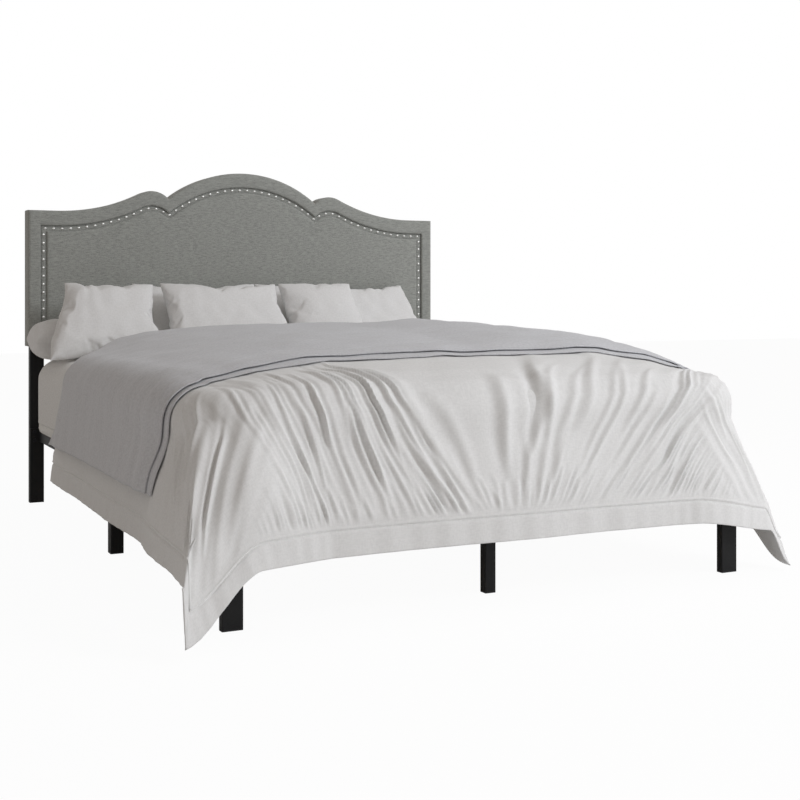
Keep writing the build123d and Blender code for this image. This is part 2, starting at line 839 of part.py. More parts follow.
def mattress_form(bottom, grow):
    """Mattress block with rounded corners and edges, grown by a skin's thickness."""
    with BuildPart() as block:
        with BuildSketch(Plane.XY.offset(bottom)):
            with Locations((0, face_y - mattress_centre)):
                RectangleRounded(
                    mattress_width + 2 * grow, mattress_length + 2 * grow, mattress_corner_round + grow
                )
        extrude(amount=mattress_top + grow - bottom)
        fillet(block.faces().sort_by(Axis.Z)[-1].edges(), mattress_edge_round + grow)
    return block


# Mattress, and the fitted sheet drawn over it down to its elastic hem
with BuildPart() as mattress:
    add(mattress_form(mattress_bottom, 0).part)
    bottom_edges = mattress.faces().sort_by(Axis.Z)[0].edges()
    fillet(bottom_edges, mattress_base_round)
export(mattress, "mattress")

with BuildPart() as fitted_sheet:
    add(mattress_form(mattress_bottom + sheet_hem_rise, sheet_thickness).part)
    add(mattress_form(mattress_bottom, 0).part, mode=Mode.SUBTRACT)
export(fitted_sheet, "fitted_sheet")


def fold_line(start, end, count, depth):
    """Folds of hanging cloth between two points: arcs in and out along a line."""
    if not depth:
        Line(start, end)
        return
    run = Vector(*end) - Vector(*start)
    across = Vector(run.Y, -run.X).normalized()
    arcs = 2 * count
    for index in range(arcs):
        first = Vector(*start) + run * (index / arcs)
        last = Vector(*start) + run * ((index + 1) / arcs)
        sign = 1 if index % 2 else -1
        ThreePointArc(first, (first + last) / 2 + across * (sign * depth / 2), last)


def duvet_section(height, halves, foot, tips, corner_run, fold_depth):
    """Outline of the duvet at one height: folded sides and foot, and pointed corners."""
    head_half, foot_half = [half - fold_depth / 2 for half in halves]
    head_y = face_y - duvet_head_distance + duvet_head_lean
    foot_y = face_y - foot + fold_depth / 2
    side_end = face_y - foot + corner_run
    foot_start = halves[1] - corner_run
    left_tip, right_tip = tips
    with BuildSketch(Plane.XY.offset(height)) as section:
        with BuildLine():
            fold_line((-head_half, head_y), (-foot_half, side_end), duvet_side_folds, fold_depth)
            Polyline((-foot_half, side_end), left_tip, (-foot_start, foot_y))
            fold_line((-foot_start, foot_y), (foot_start, foot_y), duvet_foot_folds, fold_depth)
            Polyline((foot_start, foot_y), right_tip, (foot_half, side_end))
            fold_line((foot_half, side_end), (head_half, head_y), duvet_side_folds, fold_depth)
            Line((head_half, head_y), (-head_half, head_y))
        make_face()
    return section.sketch


def hanging_tips(height, inset_x, inset_y):
    """Corner points of the hanging cloth at a height, left then right."""
    tips = []
    for side, distance, tip_height in (
        (-1, duvet_left_tip_distance, duvet_left_tip_height),
        (1, duvet_right_tip_distance, duvet_right_tip_height),
    ):
        drop = ((duvet_shoulder - height) / (duvet_shoulder - tip_height)) ** duvet_tip_path_share
        reach = duvet_tip_top_reach + drop * (duvet_tip_reach - duvet_tip_top_reach)
        top_distance = duvet_foot - duvet_tip_top_setback
        far = top_distance + drop * (distance - top_distance)
        tips.append((side * (reach - inset_x), face_y - far + inset_y))
    return tips


def hanging_sections(half, foot, corner_run, grow, tip_inset, fold_depth):
    """Sections of the hanging cloth, from the floor up to just under the shoulder."""
    sections = []
    levels = [(0, duvet_drop_shares[0])]
    levels += [
        (duvet_shoulder - row[0] * (duvet_shoulder - duvet_hem_height), row) for row in duvet_drop_shares
    ]
    for height, (drop_share, flare_share, fold_share, run_share) in levels:
        side = half + grow + duvet_side_flare * flare_share
        sections.append(
            duvet_section(
                height,
                (side, side),
                foot + grow + duvet_foot_flare * flare_share,
                hanging_tips(height, tip_inset[0] - grow, tip_inset[1] - grow),
                corner_run * run_share,
                fold_depth * fold_share,
            )
        )
    return sections


def crown_sections(grow, fold_depth):
    """Sections of the duvet's domed top, from the shoulder to the crown."""
    sections = []
    rise = duvet_crown - duvet_shoulder
    for rise_share, head_share, side_share, foot_share in duvet_crown_shares:
        foot = (duvet_foot - duvet_head_distance) * (1 - foot_share) + duvet_head_distance + grow
        half = duvet_half * (1 - side_share) + grow
        run = duvet_corner_run * half / (duvet_half + grow)
        if rise_share:
            inset = run * duvet_crown_corner_share
            tips = [(side * (half - inset), face_y - foot + inset) for side in (-1, 1)]
        else:
            tips = hanging_tips(duvet_shoulder, -grow, -grow)
        sections.append(
            duvet_section(
                duvet_shoulder + rise * rise_share + (grow if rise_share else 0),
                (duvet_half * (1 - head_share) + grow, half),
                foot,
                tips,
                run,
                fold_depth * duvet_crown_fold_share,
            )
        )
    return sections


def duvet_form(grow, fold_depth):
    """Closed outer form of the duvet on the bed, grown by what lies over it."""
    with BuildPart() as form:
        for section in hanging_sections(
            duvet_half, duvet_foot, duvet_corner_run, grow, (0, 0), fold_depth
        ) + crown_sections(grow, fold_depth):
            add(section)
        loft(ruled=True)
    return form.part


def side_cutter(points, start_x, end_x):
    """Block cut to a side-view outline: distances from the face, and heights."""
    with BuildPart() as cutter:
        with BuildSketch(Plane.YZ.offset(start_x)):
            with BuildLine():
                Polyline([(face_y - distance, height) for distance, height in points], close=True)
            make_face()
        extrude(amount=end_x - start_x)
    return cutter.part


bed_reach = duvet_left_tip_distance + overrun
wide_reach = duvet_tip_reach + overrun
head_cut = [
    (duvet_head_distance, duvet_crown + overrun),
    (duvet_head_distance + duvet_head_lean, duvet_hem_height),
    (duvet_head_distance + duvet_head_lean, -overrun),
    (0, -overrun),
    (0, duvet_crown + overrun),
]

# Duvet: filled cloth domed over the mattress, hanging in folds to two pointed corners
with BuildPart() as duvet_hollow:
    for section in hanging_sections(
        bedding_half, bedding_end, mattress_corner_round, 0, (duvet_tip_inset, duvet_tip_foot_inset), 0
    ):
        add(section)
    loft(ruled=True)
    add(mattress_form(mattress_bottom, sheet_thickness + soft_gap).part)

with BuildPart() as duvet:
    add(duvet_form(0, duvet_fold_depth))
    add(duvet_hollow.part, mode=Mode.SUBTRACT)
    add(side_cutter(head_cut, -wide_reach, wide_reach), mode=Mode.SUBTRACT)
    for start_x, end_x, tip_distance, tip_height in (
        (-wide_reach, 0, duvet_left_tip_distance, duvet_left_tip_height),
        (0, wide_reach, duvet_right_tip_distance, duvet_right_tip_height),
    ):
        hem_cut = [
            (bed_reach, -overrun),
            (bed_reach, tip_height),
            (tip_distance, tip_height),
            (tip_distance - duvet_tip_run, duvet_hem_height),
            (0, duvet_hem_height),
            (0, -overrun),
        ]
        add(side_cutter(hem_cut, start_x, end_x), mode=Mode.SUBTRACT)
    with BuildSketch(wall_plane(0)):
        with BuildLine():
            Polyline(
                (-wide_reach, -overrun),
                (-wide_reach, duvet_left_tip_height),
                (-duvet_tip_reach, duvet_left_tip_height),
                (-duvet_tip_reach + duvet_tip_run, duvet_hem_height),
                (duvet_tip_reach - duvet_tip_run, duvet_hem_height),
                (duvet_tip_reach, duvet_right_tip_height),
                (wide_reach, duvet_right_tip_height),
                (wide_reach, -overrun),
                close=True,
            )
        make_face()
    extrude(amount=bed_reach, mode=Mode.SUBTRACT)
export(duvet, "duvet")


def cloth_layer(grow, foot_distance):
    """Cloth over the duvet, from the pillows down to its foot edge, as a solid form."""
    beyond_foot = [
        (foot_distance, duvet_crown + 3 * overrun),
        (bed_reach + 2 * overrun, duvet_crown + 3 * overrun),
        (bed_reach + 2 * overrun, -overrun),
        (foot_distance, -overrun),
    ]
    with BuildPart() as layer:
        add(duvet_form(grow, coverlet_fold_depth))
        add(side_cutter(beyond_foot, -cloth_reach, cloth_reach), mode=Mode.SUBTRACT)
    return layer.part


# Coverlet: laid double over the duvet, the upper layer a little shorter than the lower
cloth_reach = wide_reach + overrun
with BuildPart() as coverlet:
    add(cloth_layer(soft_gap + coverlet_layer, coverlet_foot_distance))
    add(cloth_layer(soft_gap + 2 * coverlet_layer, coverlet_foot_distance - coverlet_step))
    add(duvet_form(soft_gap, 0), mode=Mode.SUBTRACT)
    add(side_cutter(head_cut, -cloth_reach, cloth_reach), mode=Mode.SUBTRACT)
    split(bisect_by=Plane.XY.offset(coverlet_hem_height), keep=Keep.TOP)
export(coverlet, "coverlet")


def pillow_reach(height, thickness, lean, up):
    """How far a leaning pillow reaches from its centre, upwards or towards the wall."""
    along, through = (sin(lean), cos(lean)) if up else (cos(lean), sin(lean))
    return max(
        height / 2 * outline_share * along + thickness * level_share * through
        for level_share, outline_share in pillow_level_shares
    )


def pillow(name, centre_x, size, thickness, lean, wall_distance):
    """Crowned pillow with drawn-in sides, leaning back, seated on the sheet."""
    width, height = size
    centre_z = sheet_top + soft_gap + pillow_reach(height, thickness, lean, True)
    centre_y = face_y - wall_distance - pillow_reach(height, thickness, lean, False)
    seat = Plane((centre_x, centre_y, centre_z), x_dir=(1, 0, 0), z_dir=(0, -sin(lean), cos(lean)))
    levels = [(-level, outline) for level, outline in reversed(pillow_level_shares[1:])]
    with BuildPart() as form:
        for level_share, outline_share in levels + pillow_level_shares:
            half_width = width / 2 * outline_share
            half_height = height / 2 * outline_share
            corner = pillow_corner * outline_share
            across = height * pillow_drawn_in_share * outline_share
            with BuildSketch(seat.offset(thickness * level_share)):
                with BuildLine():
                    for turn in (1, -1):
                        ThreePointArc(
                            (-turn * (half_width - corner), -turn * half_height),
                            (0, -turn * (half_height - across)),
                            (turn * (half_width - corner), -turn * half_height),
                        )
                        Line(
                            (turn * (half_width - corner), -turn * half_height),
                            (turn * half_width, -turn * (half_height - corner)),
                        )
                        ThreePointArc(
                            (turn * half_width, -turn * (half_height - corner)),
                            (turn * (half_width - across), 0),
                            (turn * half_width, turn * (half_height - corner)),
                        )
                        Line(
                            (turn * half_width, turn * (half_height - corner)),
                            (turn * (half_width - corner), turn * half_height),
                        )
                make_face()
        loft(ruled=True)
    export(form, name)


# Pillows: one flat, two leaning on the headboard, three leaning on those
lean = radians(pillow_lean)
front_gap = pillow_wall_gap + (pillow_thickness + pillow_row_gap) / sin(lean)
pillow(
    "pillow_flat_left",
    flat_pillow_centre,
    (flat_pillow_width, flat_pillow_depth),
    flat_pillow_thickness,
    0,
    flat_pillow_wall_gap,
)
for name, centre_x, width, wall_distance in (
    ("pillow_back_left", back_left_pillow_centre, back_left_pillow_width, pillow_wall_gap),
    ("pillow_back_right", back_right_pillow_centre, back_right_pillow_width, pillow_wall_gap),
    ("pillow_front_left", front_left_pillow_centre, front_left_pillow_width, front_gap),
    ("pillow_front_centre", front_centre_pillow_centre, front_centre_pillow_width, front_gap),
    ("pillow_front_right", front_right_pillow_centre, front_right_pillow_width, front_gap),
):
    pillow(name, centre_x, (width, pillow_height), pillow_thickness, lean, wall_distance)
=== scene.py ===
"""Queen bed with a camelback upholstered headboard, dressed with a duvet, coverlet and pillows."""
import json
import math

import bmesh
import bpy
import numpy as np
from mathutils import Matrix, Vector


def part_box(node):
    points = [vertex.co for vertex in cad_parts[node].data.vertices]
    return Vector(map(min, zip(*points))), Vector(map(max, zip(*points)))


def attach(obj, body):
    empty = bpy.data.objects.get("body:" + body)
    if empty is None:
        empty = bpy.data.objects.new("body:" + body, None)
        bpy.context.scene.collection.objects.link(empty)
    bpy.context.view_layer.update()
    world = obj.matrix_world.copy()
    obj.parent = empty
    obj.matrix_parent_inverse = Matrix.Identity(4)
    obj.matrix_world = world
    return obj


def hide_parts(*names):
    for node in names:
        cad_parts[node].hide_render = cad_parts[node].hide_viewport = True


bl_info = {
    "name": "Upholstered bed",
    "version": (1, 0, 0),
    "blender": (4, 5, 0),
    "location": "3D View > Sidebar > Bed",
    "description": "Builds the soft pieces, finishes and studio of an upholstered queen bed",
    "category": "Object",
}

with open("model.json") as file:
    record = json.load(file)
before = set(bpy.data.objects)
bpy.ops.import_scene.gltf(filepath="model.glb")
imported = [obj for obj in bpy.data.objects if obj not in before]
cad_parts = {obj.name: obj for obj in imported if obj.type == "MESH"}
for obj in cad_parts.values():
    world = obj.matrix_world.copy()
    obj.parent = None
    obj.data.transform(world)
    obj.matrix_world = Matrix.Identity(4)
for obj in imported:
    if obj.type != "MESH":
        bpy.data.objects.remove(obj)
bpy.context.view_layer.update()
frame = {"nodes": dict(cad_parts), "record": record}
MM = 0.001

# Headboard outline, in metres: heights above the floor and distances from its middle
FACE_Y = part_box("headboard_border_cover")[0].y
HALF_BOARD = 0.800
SHOULDER_Z, CROWN_Z, BOARD_BOTTOM = 1.058, 1.220, 0.570
NOTCH = (0.292, 1.114)
EAR_X, EAR_Z, EAR_RADIUS = 0.354, 1.141, 0.085
SWEEP_X = 0.700
GROOVE_SIDE, GROOVE_TOP = 0.044, 0.0545
NAIL_SIDE, NAIL_TOP = 0.054, 0.0645
FIELD_SIDE, FIELD_TOP = 0.064, 0.0745
# Depths behind the face: the groove's floor and its lining, the nails' seats, the board's back, the
# dust cloth's outer face
GROOVE_FLOOR, LINING_DEPTH, NAIL_SEAT, BOARD_BACK, DUST_BACK = 0.0118, 0.0106, 0.0105, 0.0735, 0.0748
# Distances from a panel's edge of the points that round it
EDGE_STEPS = np.array([0, 0.3, 1, 2, 3.5, 5.5, 8, 12]) * MM

# Bedding: half widths, heights, and distances from the headboard's face
SHEET_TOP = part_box("fitted_sheet")[1].z
DUVET_HALF, DUVET_FOOT = 0.8053, 2.0653
DUVET_SHOULDER, DUVET_CROWN, DUVET_HEM = 0.4983, 0.6346, 0.152
DUVET_HEAD = 0.490
# How far the head edge draws back, and from where to where across it does so and then eases again
HEAD_DRAWN, DRAWN_FROM, DRAWN_EASE, EASE_SHARE = 0.22, (0.58, 0.84), (0.86, 1.13), 0.7
# The duvet's thickness at its flange, what its fill adds, and the run over which it does so
FLANGE_THICK, FILL_THICK, FILL_RUN = 0.003, 0.015, 0.06
SIDE_FLARE, FOOT_FLARE = 0.026, 0.034
CORNER_RUN, CORNER_ROUND = 0.330, 0.240
SIDE_HEM, SHOULDER_ROLL = 0.160, 0.034
# How the flare grows down the cloth
FLARE_CURVE = 1.3
# How much fuller the top is at the right, and where it rises and falls across and along
RIGHT_FULLNESS = 0.034
RIGHT_RISE, RIGHT_FALL = (0.05, 0.50), (0.60, 0.80)
RIGHT_START, RIGHT_END = (0.50, 0.80), (1.55, 1.95)
# The fold at the left foot corner: how far it stands out, where it lies past the corner's middle,
# the radius of its crest, and its widths towards the side and towards the foot's middle
FOLD_OUT, FOLD_PLACE, FOLD_CREST = 0.055, 0.100, 0.006
FOLD_SIDEWARD, FOLD_FOOTWARD = 0.18, 0.11
# Each tip's half width, distance and height. Then how the hem drops to it, at the side and at the
# foot: the part of the drop that is steep, and the shares of the corner's run for both parts
TIPS = {
    -1: (0.865, 2.263, 0.026, ((0.9, 0.03, 0.5), (0.0, 0.1, 0.47))),
    1: (0.865, 2.111, 0.015, ((0.0, 0.1, 0.65), (0.7, 0.14, 0.75))),
}
# The part of the way to a tip that the flare already gives, across and along, and how the pull to
# the tip grows along the hem and down the cloth
TIP_SLACK_X, TIP_SLACK_D, TIP_SPREAD, TIP_GROWTH = 0.02, 0.024, 1.5, 0.75
SHEET_HALF, SHEET_FOOT, SHEET_CORNER, SHEET_EDGE = 0.779, 2.039, 0.152, 0.077
MATTRESS_CORNER, MATTRESS_EDGE, MATTRESS_BASE_EDGE = 0.150, 0.075, 0.016
# The way round the mattress, for its cloth's flat coordinates
BLOCK_ROUND = 7.0
# The bedding's gaps outside the fitted sheet, and the softness of that push
SHEET_GAP, LINING_GAP, GAP_SOFTNESS = 0.007, 0.001, 0.003
RELAX_ROUNDS = 8
# Share of the rise to the crown, then the insets of that level: half width at the head,
# half width at the foot, and length
CROWN_LEVELS = (
    (0.00, 0.005, 0.005, 0.002),
    (0.18, 0.020, 0.020, 0.006),
    (0.34, 0.070, 0.080, 0.020),
    (0.50, 0.170, 0.240, 0.055),
    (0.66, 0.270, 0.420, 0.120),
    (0.82, 0.370, 0.620, 0.260),
    (0.94, 0.500, 0.780, 0.450),
    (1.00, 0.640, 0.900, 0.650),
)
CROWN_SQUARENESS = 9
COVERLET_FOOT, COVERLET_STEP, COVERLET_HEM = 1.850, 0.038, 0.275
COVERLET_THICK = 0.0035
# Distance of the coverlet's pressed crease at the left
PRESSED_CREASE = 1.42
# Creases of the foot: seed, count, reach across, widths, heights as shares of the crease depth,
# and the heights above the seam where they start and how far they rise
FOOT_STROKES = (
    (50, 64, (-0.72, -0.05), (0.005, 0.010), (0.5, 1.3), ((-0.02, 0.22), (0.14, 0.36))),
    (51, 74, (0.0, 0.68), (0.005, 0.009), (0.4, 1.1), ((-0.02, 0.18), (0.18, 0.42))),
    (52, 150, (-0.75, 0.78), (0.0035, 0.006), (0.3, 0.6), ((-0.03, 0.02), (0.05, 0.13))),
)
# Creases along the two corners' ridges, each with its own seed, reach and heights
RIDGE_STROKES = ((54, (-3.16, -2.86), (0.8, 1.6)), (55, (2.86, 3.16), (0.6, 1.3)))
# Spacing of a pillow's points, and how squarely its fill, and the flat one's, meets the edges
PILLOW_GRID, PILLOW_CURVE, FLAT_PILLOW_CURVE = 0.0065, 2.6, 8
# How far the cloth simulation may move a pillow's points, and its number of frames
PILLOW_CAP, PILLOW_FRAMES = 0.028, 20

# Camera fitted to the photograph: place, turn about the vertical in degrees, and shift
CAMERA_PLACE, CAMERA_TURN, CAMERA_SHIFT = (-1.627, -3.8925, 0.756), -27.248, (-0.0747, -0.1321)
# Share of the floor that the camera sees as plain white, which leaves the object's shadow
FLOOR_WHITE = 0.96
AMBIENT_COLOUR, AMBIENT_STRENGTH, LAMP_COLOUR = "#fff5ec", 0.30, "#f7faff"


def linear(hex_colour):
    """sRGB hex colour as the linear red, green, blue and alpha that sockets take."""
    parts = [int(hex_colour[i:i + 2], 16) / 255 for i in (1, 3, 5)]
    return tuple(c / 12.92 if c <= 0.04045 else ((c + 0.055) / 1.055) ** 2.4 for c in parts) + (1.0,)


def node(tree, kind, inputs=None, **settings):
    """Adds a node, sets its options and sockets, and links each socket that is given another."""
    made = tree.nodes.new(kind)
    for key, value in settings.items():
        setattr(made, key, value)
    for key, value in (inputs or {}).items():
        if isinstance(value, bpy.types.NodeSocket):
            tree.links.new(value, made.inputs[key])
        else:
            made.inputs[key].default_value = value
    return made


def surface(name, roughness, **sockets):
    """A new material: its tree, its shader and the coordinates that its patterns read."""
    made = bpy.data.materials.new(name)
    made.use_nodes = True
    tree = made.node_tree
    tree.nodes.clear()
    shader = node(tree, "ShaderNodeBsdfPrincipled", {"Roughness": roughness, **sockets})
    node(tree, "ShaderNodeOutputMaterial", {"Surface": shader.outputs[0]})
    place = node(tree, "ShaderNodeTexCoord")
    return made, tree, shader, place


def mixed(tree, shader, share, low, high):
    """Base colour between two tones by a pattern."""
    ramp = node(tree, "ShaderNodeValToRGB", {"Fac": share})
    ramp.color_ramp.elements[0].color = linear(low)
    ramp.color_ramp.elements[1].color = linear(high)
    tree.links.new(ramp.outputs[0], shader.inputs["Base Color"])
    return ramp


def bumped(tree, shader, height, distance):
    """Bump of a real depth in metres on a shader."""
    made = node(tree, "ShaderNodeBump", {"Height": height, "Distance": distance, "Strength": 1.0})
    tree.links.new(made.outputs[0], shader.inputs["Normal"])


def clouded(name, roughness, size, low, high, depth=0.0, detail=2.0, **sockets):
    """Surface between two tones by noise of a real size, with a bump of that noise where asked."""
    made, tree, shader, place = surface(name, roughness, **sockets)
    cloud = node(
        tree, "ShaderNodeTexNoise", {"Vector": place.outputs["Object"], "Scale": 1 / size, "Detail": detail}
    )
    mixed(tree, shader, cloud.outputs["Fac"], low, high)
    if depth:
        bumped(tree, shader, cloud.outputs["Fac"], depth)
    return made


def woven(name, dark, light, thread, depth, slub, sheen, where="UV"):
    """Plain woven cloth: crossing threads, uneven yarn and a soft sheen at grazing angles."""
    made, tree, shader, place = surface(name, 0.92, **{"Sheen Weight": sheen, "Sheen Roughness": 0.5})
    at = place.outputs[where]
    heights = []
    for turned in (0, 1):
        stretch = (1.0, slub, 1.0) if turned else (slub, 1.0, 1.0)
        spun = node(tree, "ShaderNodeMapping", {"Vector": at, "Scale": stretch})
        yarn = node(
            tree, "ShaderNodeTexNoise", {"Vector": spun.outputs[0], "Scale": 0.55 / thread, "Detail": 3.0}
        )
        heights.append(yarn.outputs["Fac"])
    both = node(tree, "ShaderNodeMath", {0: heights[0], 1: heights[1]}, operation="ADD")
    half = node(tree, "ShaderNodeMath", {0: both.outputs[0], 1: 0.5}, operation="MULTIPLY")
    ramp = mixed(tree, shader, half.outputs[0], dark, light)
    ramp.color_ramp.elements[0].position = 0.36
    ramp.color_ramp.elements[1].position = 0.62
    bumped(tree, shader, half.outputs[0], depth)
    return made


def linen_material():
    """Grey heathered linen: slubby yarn about 1.6 mm apart, so the grey is mottled and matt."""
    return woven("grey_linen_woven", "#858783", "#aaaca7", 1.6 * MM, 0.5 * MM, 0.16, 0.15, "Object")


def cotton_material(name, dark, light):
    """Percale cotton: threads too fine to show, drawn coarser, matt with a faint sheen."""
    return woven(name, dark, light, 2.4 * MM, 0.07 * MM, 0.35, 0.1)


def nonwoven_material():
    """Black spun-bonded polypropylene: matt, with small pressed dots 2.4 mm apart."""
    made, tree, shader, place = surface("black_spunbond_polypropylene", 0.85)
    dots = node(tree, "ShaderNodeTexVoronoi", {"Vector": place.outputs["Object"], "Scale": 1 / (2.4 * MM)})
    mixed(tree, shader, dots.outputs["Distance"], "#101010", "#1c1c1c")
    bumped(tree, shader, dots.outputs["Distance"], 0.3 * MM)
    return made


def powder_coat_material():
    """Black powder-coated steel: satin, with the slight orange peel of baked powder."""
    return clouded("black_powder_coated_steel", 0.5, 3 * MM, "#080808", "#131314", 0.15 * MM,
                   **{"Specular IOR Level": 0.3})


def moulded_plastic_material():
    """Black polyethylene, moulded: soft gloss and a fine spark-eroded texture."""
    return clouded("black_moulded_polyethylene", 0.5, 1.2 * MM, "#0e0e0e", "#191919", 0.1 * MM)


def zinc_material():
    """Zinc-plated steel, passivated black: dark metal with a cloudy, slightly uneven plate."""
    return clouded("black_zinc_plated_steel", 0.42, 6 * MM, "#2c2c2e", "#3c3c3f", Metallic=1.0)


def nickel_material():
    """Nickel-plated nail heads, softly polished: bright, with faint handling marks."""
    return clouded("polished_nickel_plate", 0.42, 2.5 * MM, "#c9c8c5", "#eeedea", 0.06 * MM, 4.0,
                   Metallic=1.0)


def timber_material(name, dark, light, grain, along):
    """Sawn and planed timber: long grain lines and growth bands along one direction."""
    made, tree, shader, place = surface(name, 0.62)
    stretch = [1.0, 1.0, 1.0]
    stretch[along] = 0.06
    drawn = node(tree, "ShaderNodeMapping", {"Vector": place.outputs["Object"], "Scale": stretch})
    fibre = node(
        tree, "ShaderNodeTexNoise",
        {"Vector": drawn.outputs[0], "Scale": 1 / grain, "Detail": 5.0, "Distortion": 0.8},
    )
    mixed(tree, shader, fibre.outputs["Fac"], dark, light)
    bumped(tree, shader, fibre.outputs["Fac"], 0.2 * MM)
    return made


def noise(x, y, seed):
    """Smooth gradient noise from about -1 to 1, the same on every run.

    A call divides each place by the spacing of what it draws, and multiplies by its height."""
    turn = np.random.default_rng(seed).random((256, 256)) * 2 * np.pi
    xi, yi = np.floor(x).astype(int), np.floor(y).astype(int)
    xf, yf = x - xi, y - yi

    def pull(i, j):
        angle = turn[(xi + i) % 256, (yi + j) % 256]
        return np.cos(angle) * (xf - i) + np.sin(angle) * (yf - j)

    u, v = xf**3 * (xf * (xf * 6 - 15) + 10), yf**3 * (yf * (yf * 6 - 15) + 10)
    near, far = pull(0, 0) * (1 - u) + pull(1, 0) * u, pull(0, 1) * (1 - u) + pull(1, 1) * u
    return (near * (1 - v) + far * v) * 1.5


def creases(x, y, seed, sharp):
    """Ridged noise from 0 to 1: narrow raised lines like those of pulled cloth."""
    return (1 - np.minimum(np.abs(noise(x, y, seed)), 1)) ** sharp


def smooth_step(x, low, high):
    """0 below low, 1 above high, and a smooth rise between."""
    t = np.clip((x - low) / (high - low), 0, 1)
    return t * t * (3 - 2 * t)


def grid_quads(rows, cols, start=0, wrap=False, flip=False):
    """Quads of a grid of points kept row by row; wrap joins its last column to its first."""
    index = start + np.arange(rows * cols).reshape(rows, cols)
    if wrap:
        index = np.concatenate([index, index[:, :1]], axis=1)
    quads = np.stack([index[:-1, :-1], index[:-1, 1:], index[1:, 1:], index[1:, :-1]], axis=-1).reshape(-1, 4)
    return quads[:, ::-1] if flip else quads


def put_mesh(name, points, quads, material, uv=None, smooth=True):
    """Mesh object from points and quads, linked to the scene, with its flat cloth as UVs."""
    mesh = bpy.data.meshes.new(name)
    points, quads = np.asarray(points, np.float32), np.asarray(quads, np.int32)
    mesh.vertices.add(len(points))
    mesh.vertices.foreach_set("co", points.ravel())
    mesh.loops.add(quads.size)
    mesh.loops.foreach_set("vertex_index", quads.ravel())
    mesh.polygons.add(len(quads))
    mesh.polygons.foreach_set("loop_start", np.arange(0, quads.size, 4, dtype=np.int32))
    if uv is not None:
        layer = mesh.uv_layers.new(name="cloth")
        layer.data.foreach_set("uv", np.asarray(uv, np.float32)[quads.ravel()].ravel())
    mesh.update(calc_edges=True)
    mesh.validate()
    mesh.polygons.foreach_set("use_smooth", [smooth] * len(mesh.polygons))
    piece = bpy.data.objects.new(name, mesh)
    bpy.context.scene.collection.objects.link(piece)
    piece.data.materials.append(material)
    return piece


def normals_of(points):
    """Unit normals of a grid of points, rows by columns by three."""
    along, across = np.gradient(points, axis=0), np.gradient(points, axis=1)
    made = np.cross(along, across)
    return made / np.maximum(np.linalg.norm(made, axis=-1, keepdims=True), 1e-12)


def relaxed(points, rounds, keep):
    """Grid smoothed by its neighbours' mean; keep is 1 where a point has to stay."""
    keep = keep[..., None]
    for _ in range(rounds):
        mean = points.copy()
        mean[1:-1] = (points[:-2] + points[2:]) / 2
        mean[:, 1:-1] = (mean[:, 1:-1] + (points[:, :-2] + points[:, 2:]) / 2) / 2
        points = points * keep + mean * (1 - keep)
    return points


def turn_out(piece, fill=False):
    """Turns a piece's faces outwards, after filling its open ends where asked."""
    work = bmesh.new()
    work.from_mesh(piece.data)
    if fill:
        bmesh.ops.holes_fill(work, edges=[e for e in work.edges if e.is_boundary])
    bmesh.ops.recalc_face_normals(work, faces=work.faces)
    work.to_mesh(piece.data)
    work.free()


def join_in(piece, other):
    """Adds another piece's mesh to a piece, and removes the other."""
    work = bmesh.new()
    work.from_mesh(piece.data)
    work.from_mesh(other.data)
    work.to_mesh(piece.data)
    work.free()
    bpy.data.objects.remove(other)


def shell(name, outer, inner, material, flat):
    """Closed thick cloth from its two faces, given as grids, sewn together at the edges."""
    rows, cols = outer.shape[:2]
    size = rows * cols
    quads = [grid_quads(rows, cols), grid_quads(rows, cols, size, flip=True)]
    index = np.arange(size).reshape(rows, cols)
    for edge, turn in ((index[0], False), (index[-1], True), (index[:, 0], True), (index[:, -1], False)):
        strip = np.stack([edge[:-1], edge[:-1] + size, edge[1:] + size, edge[1:]], axis=-1)
        quads.append(strip[:, ::-1] if turn else strip)
    points = np.concatenate([outer.reshape(-1, 3), inner.reshape(-1, 3)])
    uv = np.concatenate([flat.reshape(-1, 2), flat.reshape(-1, 2)])
    piece = put_mesh(name, points, np.concatenate(quads), material, uv)
    turn_out(piece)
    return piece


def circle_through(first, middle, last):
    """Centre and radius of the circle through three points of a plane."""
    (ax, ay), (bx, by), (cx, cy) = first, middle, last
    d = 2 * (ax * (by - cy) + bx * (cy - ay) + cx * (ay - by))
    sa, sb, sc = ax * ax + ay * ay, bx * bx + by * by, cx * cx + cy * cy
    x = (sa * (by - cy) + sb * (cy - ay) + sc * (ay - by)) / d
    y = (sa * (cx - bx) + sb * (ax - cx) + sc * (bx - ax)) / d
    return (x, y), math.dist((x, y), first)


def arc(first, middle, last, count):
    """Points along the arc through three points, without the last."""
    (x, y), radius = circle_through(first, middle, last)
    start, through, end = (math.atan2(p[1] - y, p[0] - x) for p in (first, middle, last))
    ways = [(through - start) % (2 * math.pi), (end - start) % (2 * math.pi)]
    sweep = ways[1] if ways[0] <= ways[1] else ways[1] - 2 * math.pi
    turns = start + sweep * np.arange(count) / count
    return np.stack([x + radius * np.cos(turns), y + radius * np.sin(turns)], axis=-1)


